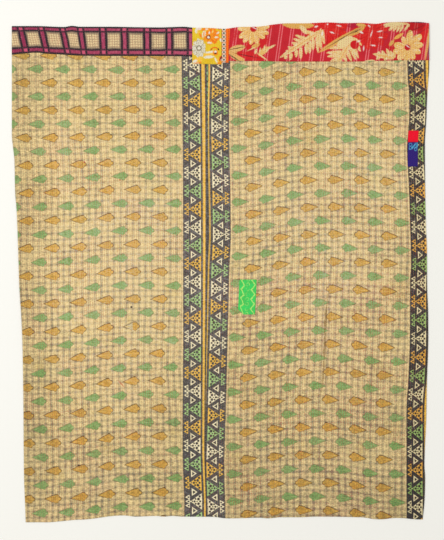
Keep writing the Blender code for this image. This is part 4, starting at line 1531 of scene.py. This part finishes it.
def add_sari_cloth(name, half, leaves, borders, row_count):
    """One sari cloth, quilted from end to end, its hems turned and rounded."""
    sizes = bpy.context.scene.quilt_sizes
    step = sizes.columns_per_row
    columns = np.arange(half.stitch_rows * step + 1) / step
    creases = [down for down, _, end, _ in CREASES if (half is LEFT) == (end < PAST_SEAM)]
    data, column, share, upper = closed_grid(columns, rows_with_creases(creases, row_count), 2 * step)

    across, down = half.spot(column, share)
    top = along(TOP_HEM, across)
    down = np.where(share == 0.0, down + TOP_TUCK, down)
    down = down + np.where(share == 1.0, BOTTOM_PUCKER * np.cos(2 * np.pi * column), 0.0)
    near = along(half.near_side, share * LENGTH)
    far = along(half.far_side, share * LENGTH)
    inset = np.minimum(np.minimum(across - near, far - across), along(BOTTOM_HEM, across) - down)
    full = 0.35 + 0.65 * rounding(np.maximum(inset, 0.0), HEM_ROUNDING)
    puff = quilting(column, down) * rounding(down - top - 0.12, 0.03)
    relief = CLOTH_THICKNESS + RIDGE_HEIGHT * puff + folds(across, down)
    base = underside(across, down) + unevenness(across, down) + CLOTH_UNDER
    set_places(data, across, down, base + np.where(upper, relief * full, 0.0))

    leaf_downs, leaf_columns, leaf_across = leaves
    leaf_column = between(leaf_across, leaf_columns, down, across)
    set_map(data, "grain", leaf_column, between(leaf_downs, LEAF_ROWS, across, down))
    set_map(data, "stitches", column, down / sizes.stitch_pitch)

    def border(side):
        depth, bases, counts = BORDERS[side]
        return (along(bases, down) - across) / depth, steady(counts, down)

    from_base, counted = border(borders[0])
    if len(borders) > 1:
        is_right = across > MIDDLE_OF_RIGHT_CLOTH
        right_from_base, right_counted = border(borders[1])
        from_base = np.where(is_right, right_from_base, -from_base)
        counted = np.where(is_right, right_counted, counted)
    set_map(data, "border", from_base, counted)
    return add_piece(name, data, SariFinish(name).made())


def band_heights(across, down, column, row, upper, side_inset, rows_down):
    """Places of a band that lies on the cloths and turns down over the top hem to the surface."""
    base = underside(across, down) + unevenness(across, down) * rounding(np.maximum(row, 0.0), 0.15)
    past_turn = np.clip(row * 8.0, 0.0, 1.0)
    full_height = PATCH_VALLEY + PATCH_RIDGE_HEIGHT * quilting(column, down) * past_turn
    full_height = full_height + folds(across, down) * past_turn
    angle = np.clip(row + 1.0, 0.0, 1.0) * np.pi / 2
    thickness = np.where(upper, 0.0, PATCH_THICKNESS)
    turned = row < 0.0
    lip_height = (full_height - thickness) * np.sin(angle)
    lip_down = thickness + (TURN_RADIUS - thickness) * (1.0 - np.cos(angle))
    height = np.where(turned, lip_height, np.where(upper, full_height, PATCH_UNDER))
    edge = rounding(side_inset, PATCH_ROUNDING) * rounding(rows_down, BAND_ROUNDING)
    height = np.where(upper & ~turned, PATCH_UNDER + (height - PATCH_UNDER) * (0.3 + 0.7 * edge), height)
    pucker = TOP_PUCKER * np.cos(2 * np.pi * column)
    near_top = np.clip(1.0 - row * 6.0, 0.0, 1.0)
    down = down + np.where(turned, lip_down + pucker, TURN_RADIUS * near_top + pucker * near_top)
    lift = np.where(turned & (row <= -1.0), 0.0, base * np.sin(angle))
    return down, lift + height


def add_band(name, near, far, spot_at, edge_at, rest_rows, material, maps):
    """A band or patch on the top hem. spot_at gives plan places, edge_at the down of its lower edge."""
    sizes = bpy.context.scene.quilt_sizes
    rows = np.concatenate((np.linspace(-1.0, 0.0, 6)[:-1], np.linspace(0.0, 1.0, rest_rows + 1)))
    data, column, row, upper = closed_grid(evenly(near, far, BAND_COLUMN), rows, 8)

    def spot(column, share):
        across, top = spot_at(column, np.zeros_like(column))
        half_share = (edge_at(across, column) - top) / LENGTH * share
        across, _ = spot_at(column, half_share)
        top = along(TOP_HEM, across)
        return across, top + (edge_at(across, column) - top) * share

    share = np.maximum(row, 0.0)
    across, down = spot(column, share)
    start, _ = spot(np.full_like(column, near), share)
    end, _ = spot(np.full_like(column, far), share)
    side_inset = np.maximum(np.minimum(across - start, end - across), 0.0)
    lower_inset = np.maximum(edge_at(across, column) - down, 0.0)
    down, height = band_heights(across, down, column, row, upper, side_inset, lower_inset)
    gap = PIECE_GAP / 2
    across = np.where(column == near, across + gap, np.where(column == far, across - gap, across))
    set_places(data, across, down, np.maximum(height, 0.0))
    set_map(data, "stitches", column, down / sizes.stitch_pitch)
    for map_name, make in maps.items():
        set_map(data, map_name, *make(column, row, across, down))
    return add_piece(name, data, material)


def floral_edge(row):
    """Down of the lower edge of the floral patch at a stitch row counted over both cloths."""
    first, last = FLORAL_PATCH_BOTTOM
    width = LEFT_STITCH_ROWS + FLORAL_PATCH_END - CHECK_BAND_END
    return first + (last - first) * (row - CHECK_BAND_END) / width


def add_back_cloth(material):
    """The back cloth under both saris, with a column on every other stitch row."""
    sizes = bpy.context.scene.quilt_sizes
    columns = np.arange(0, LEFT_STITCH_ROWS + RIGHT_STITCH_ROWS + 1, 2).astype(float)
    data, column, share, upper = closed_grid(columns, np.linspace(0.0, 1.0, 61), 1)
    across, down = spot_over_both(column, share)
    across = across + np.where(column == columns[0], EDGE_INSET, 0.0)
    across = across - np.where(column == columns[-1], EDGE_INSET, 0.0)
    down = down + np.where(share == 0.0, BACK_TUCK, 0.0) - np.where(share == 1.0, EDGE_INSET, 0.0)
    set_places(data, across, down, underside(across, down) + np.where(upper, BACK_THICKNESS, 0.0))
    set_map(data, "stitches", column, down / sizes.stitch_pitch)
    return add_piece("back_cloth", data, material)


def add_stitches(name, half, region_of, material):
    """All the running stitches of one cloth as one mesh of little threads."""
    sizes = bpy.context.scene.quilt_sizes
    pattern = bmesh.new()
    bmesh.ops.create_uvsphere(pattern, u_segments=4, v_segments=2, radius=1.0)
    points = np.array([vert.co for vert in pattern.verts])
    faces = np.array([[vert.index for vert in face.verts] for face in pattern.faces])
    pattern.free()

    beats = np.arange(-1, LAST_BEAT)
    stitch_rows, beats = np.meshgrid(np.arange(1, half.stitch_rows), beats, indexing="ij")
    stitch_rows, beats = stitch_rows.ravel().astype(float), beats.ravel()
    middle = (beats - stitch_phase(stitch_rows)) * sizes.stitch_pitch
    luck = np.sin(stitch_rows * 12.9898 + beats * 78.233) * 43758.5453
    luck = luck - np.floor(luck)
    middle = middle + (luck - 0.5) * 0.0012
    reach = sizes.stitch_length / 2 * (0.85 + 0.3 * luck)
    start = half.spot(stitch_rows, half.share_at(stitch_rows, middle - reach))
    end = half.spot(stitch_rows, half.share_at(stitch_rows, middle + reach))
    across = (start[0] + end[0]) / 2
    below_top = middle > along(TOP_HEM, across) + CLEAR_OF_TOP
    keep = below_top & (middle < along(BOTTOM_HEM, across) - CLEAR_OF_BOTTOM)

    def on_surface(across, down):
        on_cloth = region_of(stitch_rows, across, down) == 0
        height = lie(across, down) + np.where(on_cloth, CLOTH_VALLEY, PATCH_VALLEY)
        return in_frame(across, down, height)[keep]

    start, end = on_surface(*start), on_surface(*end)
    middle_place = (start + end) / 2 + (0.0, 0.0, 0.0001)
    forward = (end - start) / 2
    aside = np.array((sizes.thread_width / 2, 0.0, 0.0))
    upward = np.array((0.0, 0.0, sizes.thread_width / 2))
    places = (
        middle_place[:, None, :]
        + points[None, :, 2, None] * forward[:, None, :]
        + points[None, :, 0, None] * aside
        + points[None, :, 1, None] * upward
    )
    corners = faces[None, :, :] + np.arange(len(start))[:, None, None] * len(points)
    data = bpy.data.meshes.new(name)
    data.from_pydata(places.reshape(-1, 3), [], corners.reshape(-1, faces.shape[1]))
    region = region_of(stitch_rows, across, middle) / len(THREADS)
    shades = np.repeat(np.column_stack((luck, region))[keep], len(points), axis=0)
    set_map(data, "threads", shades[:, 0], shades[:, 1])
    return add_piece(name, data, material)


def add_mend(name, material):
    """A patch laid on the right cloth and quilted through with it."""
    sizes = bpy.context.scene.quilt_sizes
    start, end, top, bottom, lean = MENDS[name]
    tall = bottom - top
    columns = np.linspace(start, end, round((end - start) * sizes.columns_per_row) + 1)
    data, column, share, upper = closed_grid(columns, evenly(0.0, 1.0, MEND_ROW / tall), 1)
    down = top + tall * share
    if name == "green_patch":
        cut = np.clip((start + GREEN_CUT_COLUMNS - column) / GREEN_CUT_COLUMNS, 0.0, 1.0)
        down = top + (bottom - GREEN_CUT_DOWN * cut - top) * share
    leaning = column - lean * (down - top) / tall
    reached_share = RIGHT.share_at(leaning, down)
    across, reached = RIGHT.spot(leaning, reached_share)
    near, _ = RIGHT.spot(leaning - column + start, reached_share)
    far, _ = RIGHT.spot(leaning - column + end, reached_share)
    side_inset = np.minimum(across - near, far - across)
    inset = np.minimum(side_inset, np.minimum(reached - top, tall * (1.0 - share)))
    full = 0.3 + 0.7 * rounding(np.maximum(inset, 0.0), PATCH_ROUNDING)
    relief = (PATCH_THICKNESS + PATCH_RIDGE_HEIGHT * quilting(leaning, reached)) * full
    set_places(data, across, reached, lie(across, reached) + PATCH_UNDER + np.where(upper, relief, 0.0))
    set_map(data, "stitches", leaning, reached / sizes.stitch_pitch)
    set_map(data, "patch", (column - start) / (end - start), share)
    return add_piece(name + "_cloth", data, material)


# --- Operators -----------------------------------------------------------------------------------

class Build(bpy.types.Operator):
    """Shared part of the operators: an error stops the script."""
    bl_options = {"REGISTER", "UNDO"}

    def execute(self, context):
        self.build(context)
        return {"FINISHED"}


class QUILT_OT_running_stitches(Build):
    """Add the rows of running stitch that quilt the layers together"""
    bl_idname = "quilt.running_stitches"
    bl_label = "Running Stitches"

    def build(self, context):
        def left_region(row, across, down):
            floral = (row > CHECK_BAND_END) & (down < floral_edge(row))
            check = (row <= CHECK_BAND_END) & (down < along(BAND_EDGE, across))
            return np.select((check, floral), (THREADS.index("check"), THREADS.index("floral")), 0)

        def right_region(row, across, down):
            on_patch = row < FLORAL_PATCH_END
            on_strip = (row > FLORAL_PATCH_END) & (row < DOTTED_STRIP_END)
            edge = np.where(on_patch, floral_edge(row + LEFT_STITCH_ROWS), along(BAND_EDGE, across))
            on_band = down < np.where(on_strip, DOTTED_STRIP_BOTTOM, edge)
            cases = [on_band & on_patch, on_band & (row < DOTTED_STRIP_END), on_band]
            regions = [THREADS.index(name) for name in ("floral", "strip", "red")]
            for name, (start, end, top, bottom, lean) in MENDS.items():
                leaning = row + lean * (down - top) / (bottom - top)
                cases.append((leaning > start) & (leaning < end) & (down > top) & (down < bottom))
                regions.append(THREADS.index(name))
            return np.select(cases, regions, 0)

        thread = thread_finish()
        left = add_stitches("left_stitches", LEFT, left_region, thread)
        right = add_stitches("right_stitches", RIGHT, right_region, thread)


class QUILT_OT_back_cloth(Build):
    """Add the back cloth that carries both saris"""
    bl_idname = "quilt.back_cloth"
    bl_label = "Back Cloth"

    def build(self, context):
        backing = add_back_cloth(plain_finish("back_cotton", dye(206, 180, 132)))
        dress("backing", (1.83, FLAT_LENGTH), ())


class QUILT_OT_sari_cloths(Build):
    """Add the two printed sari cloths"""
    bl_idname = "quilt.sari_cloths"
    bl_label = "Sari Cloths"

    def build(self, context):
        left_leaves = (LEFT_LEAF_DOWNS, LEFT_LEAF_COLUMNS, LEFT_LEAF_ACROSS)
        right_leaves = (RIGHT_LEAF_DOWNS, RIGHT_LEAF_COLUMNS, RIGHT_LEAF_ACROSS)
        for side, half, leaves, borders, row_count, width in (
            ("left", LEFT, left_leaves, ("left",), 232, 0.862),
            ("right", RIGHT, right_leaves, ("middle", "right"), 200, 0.973),
        ):
            sari = add_sari_cloth(side + "_sari", half, leaves, borders, row_count)
            dress(side + "_cloth", (width, FLAT_LENGTH), ("back_cloth",))


class QUILT_OT_top_bands(Build):
    """Add the check band, the floral patch, the dotted strip and the red band along the top hem"""
    bl_idname = "quilt.top_bands"
    bl_label = "Top Bands"

    def build(self, context):
        def band_edge(across, column):
            return along(BAND_EDGE, across)

        def patch_edge(across, column):
            return floral_edge(column)

        def strip_edge(across, column):
            return np.full_like(across, DOTTED_STRIP_BOTTOM)

        def check_map(column, row, across, down):
            share = np.where(row < 0.0, 0.0, row)
            upright = across - along(CHECK_LEAN, across) * (share - 0.5)
            return steady(CHECK_BARS, upright), share

        def strip_map(column, row, across, down):
            return (column - FLORAL_PATCH_END) / (DOTTED_STRIP_END - FLORAL_PATCH_END), down / PRINT_UNIT

        patch_end = LEFT_STITCH_ROWS + FLORAL_PATCH_END
        for node, start, end, spot_at, edge_at, rest_rows, material, maps, flat, rests_on in (
            ("check_band", 0, CHECK_BAND_END, LEFT.spot, band_edge, 18,
             check_finish("check_weave"), {"check": check_map}, (0.795, 0.138), ("left_sari",)),
            ("floral_patch", CHECK_BAND_END, patch_end, spot_over_both, patch_edge, 22,
             floral_finish("floral_print"), {}, (0.130, 0.168), ("left_sari", "right_sari")),
            ("dotted_strip", FLORAL_PATCH_END, DOTTED_STRIP_END, RIGHT.spot, strip_edge, 20,
             dotted_finish("dotted_print"), {"strip": strip_map}, (0.031, 0.163), ("right_sari",)),
            ("red_band", DOTTED_STRIP_END, RIGHT_STITCH_ROWS, RIGHT.spot, band_edge, 22,
             red_finish("red_flower_print"), {}, (0.89, 0.18), ("right_sari",)),
        ):
            band = add_band(
                node + "_cloth", float(start), float(end), spot_at, edge_at, rest_rows, material, maps)
            dress(node, flat, rests_on)


class QUILT_OT_mends(Build):
    """Add the small patches sewn over worn places"""
    bl_idname = "quilt.mends"
    bl_label = "Mends"

    def build(self, context):
        for name, shade in (
            ("green_patch", dye(62, 216, 100)),
            ("red_patch", dye(250, 0, 42)),
            ("blue_patch", dye(44, 24, 116)),
        ):
            mend = add_mend(name, mend_finish(name, shade))
            start, end, top, bottom, _ = MENDS[name]
            dress(name, ((end - start) * STITCH_ROW_PITCH, bottom - top), ("right_sari",))


class QUILT_OT_stage(Build):
    """Add the pale floor, the soft light and the camera"""
    bl_idname = "quilt.stage"
    bl_label = "Stage"

    def build(self, context):
        scene = context.scene
        settings = scene.quilt_stage
        scene.view_settings.view_transform = "Standard"
        mesh = bmesh.new()
        bmesh.ops.create_grid(mesh, x_segments=1, y_segments=1, size=30.0)
        data = bpy.data.meshes.new("floor")
        mesh.to_mesh(data)
        mesh.free()
        floor = bpy.data.objects.new("floor", data)
        floor.location.z = -0.0004
        scene.collection.objects.link(floor)
        material = bpy.data.materials.new("floor_paint")
        material.use_nodes = True
        shader = material.node_tree.nodes["Principled BSDF"]
        shader.inputs["Base Color"].default_value = dye(247, 246, 240)
        shader.inputs["Roughness"].default_value = 0.9
        data.materials.append(material)

        world = bpy.data.worlds.new("studio")
        world.use_nodes = True
        background = world.node_tree.nodes["Background"]
        background.inputs["Color"].default_value = (1.0, 0.99, 0.965, 1.0)
        background.inputs["Strength"].default_value = 0.62
        scene.world = world
        for name, place, power, size in (
            ("key_light", (-4.4, 1.2, 4.8), 177.0, 2.8),
            ("fill_light", (2.8, 0.4, 4.6), 40.0, 3.0),
        ):
            lamp = bpy.data.lights.new(name, "AREA")
            lamp.energy = power
            lamp.size = size
            light = bpy.data.objects.new(name, lamp)
            light.location = place
            light.rotation_euler = (-light.location).to_track_quat("-Z", "Y").to_euler()
            scene.collection.objects.link(light)

        lens = bpy.data.cameras.new("camera")
        lens.sensor_width = 36.0
        lens.lens = lens.sensor_width * settings.camera_height / settings.framed_length
        camera = bpy.data.objects.new("camera", lens)
        camera.location = (*settings.aim, settings.camera_height)
        scene.collection.objects.link(camera)
        scene.camera = camera


class QUILT_PT_sidebar(bpy.types.Panel):
    bl_label = "Kantha Quilt"
    bl_idname = "QUILT_PT_sidebar"
    bl_space_type = "VIEW_3D"
    bl_region_type = "UI"
    bl_category = "Quilt"

    def draw(self, context):
        for settings in (context.scene.quilt_sizes, context.scene.quilt_colours, context.scene.quilt_stage):
            for name in settings.bl_rna.properties.keys():
                if name not in ("rna_type", "name"):
                    self.layout.prop(settings, name)
        for operator in OPERATORS:
            self.layout.operator(operator.bl_idname)


OPERATORS = (
    QUILT_OT_running_stitches, QUILT_OT_back_cloth, QUILT_OT_sari_cloths, QUILT_OT_top_bands,
    QUILT_OT_mends, QUILT_OT_stage,
)
SETTINGS = {"quilt_sizes": QuiltSizes, "quilt_colours": QuiltColours, "quilt_stage": QuiltStage}


def register():
    for name, settings in SETTINGS.items():
        bpy.utils.register_class(settings)
        setattr(bpy.types.Scene, name, PointerProperty(type=settings))
    for operator in OPERATORS:
        bpy.utils.register_class(operator)
    bpy.utils.register_class(QUILT_PT_sidebar)


def unregister():
    bpy.utils.unregister_class(QUILT_PT_sidebar)
    for operator in reversed(OPERATORS):
        bpy.utils.unregister_class(operator)
    for name, settings in SETTINGS.items():
        delattr(bpy.types.Scene, name)
        bpy.utils.unregister_class(settings)


def main():
    register()
    bpy.ops.quilt.running_stitches()
    bpy.ops.quilt.back_cloth()
    bpy.ops.quilt.sari_cloths()
    bpy.ops.quilt.top_bands()
    bpy.ops.quilt.mends()
    bpy.ops.quilt.stage()


if __name__ == "__main__":
    main()
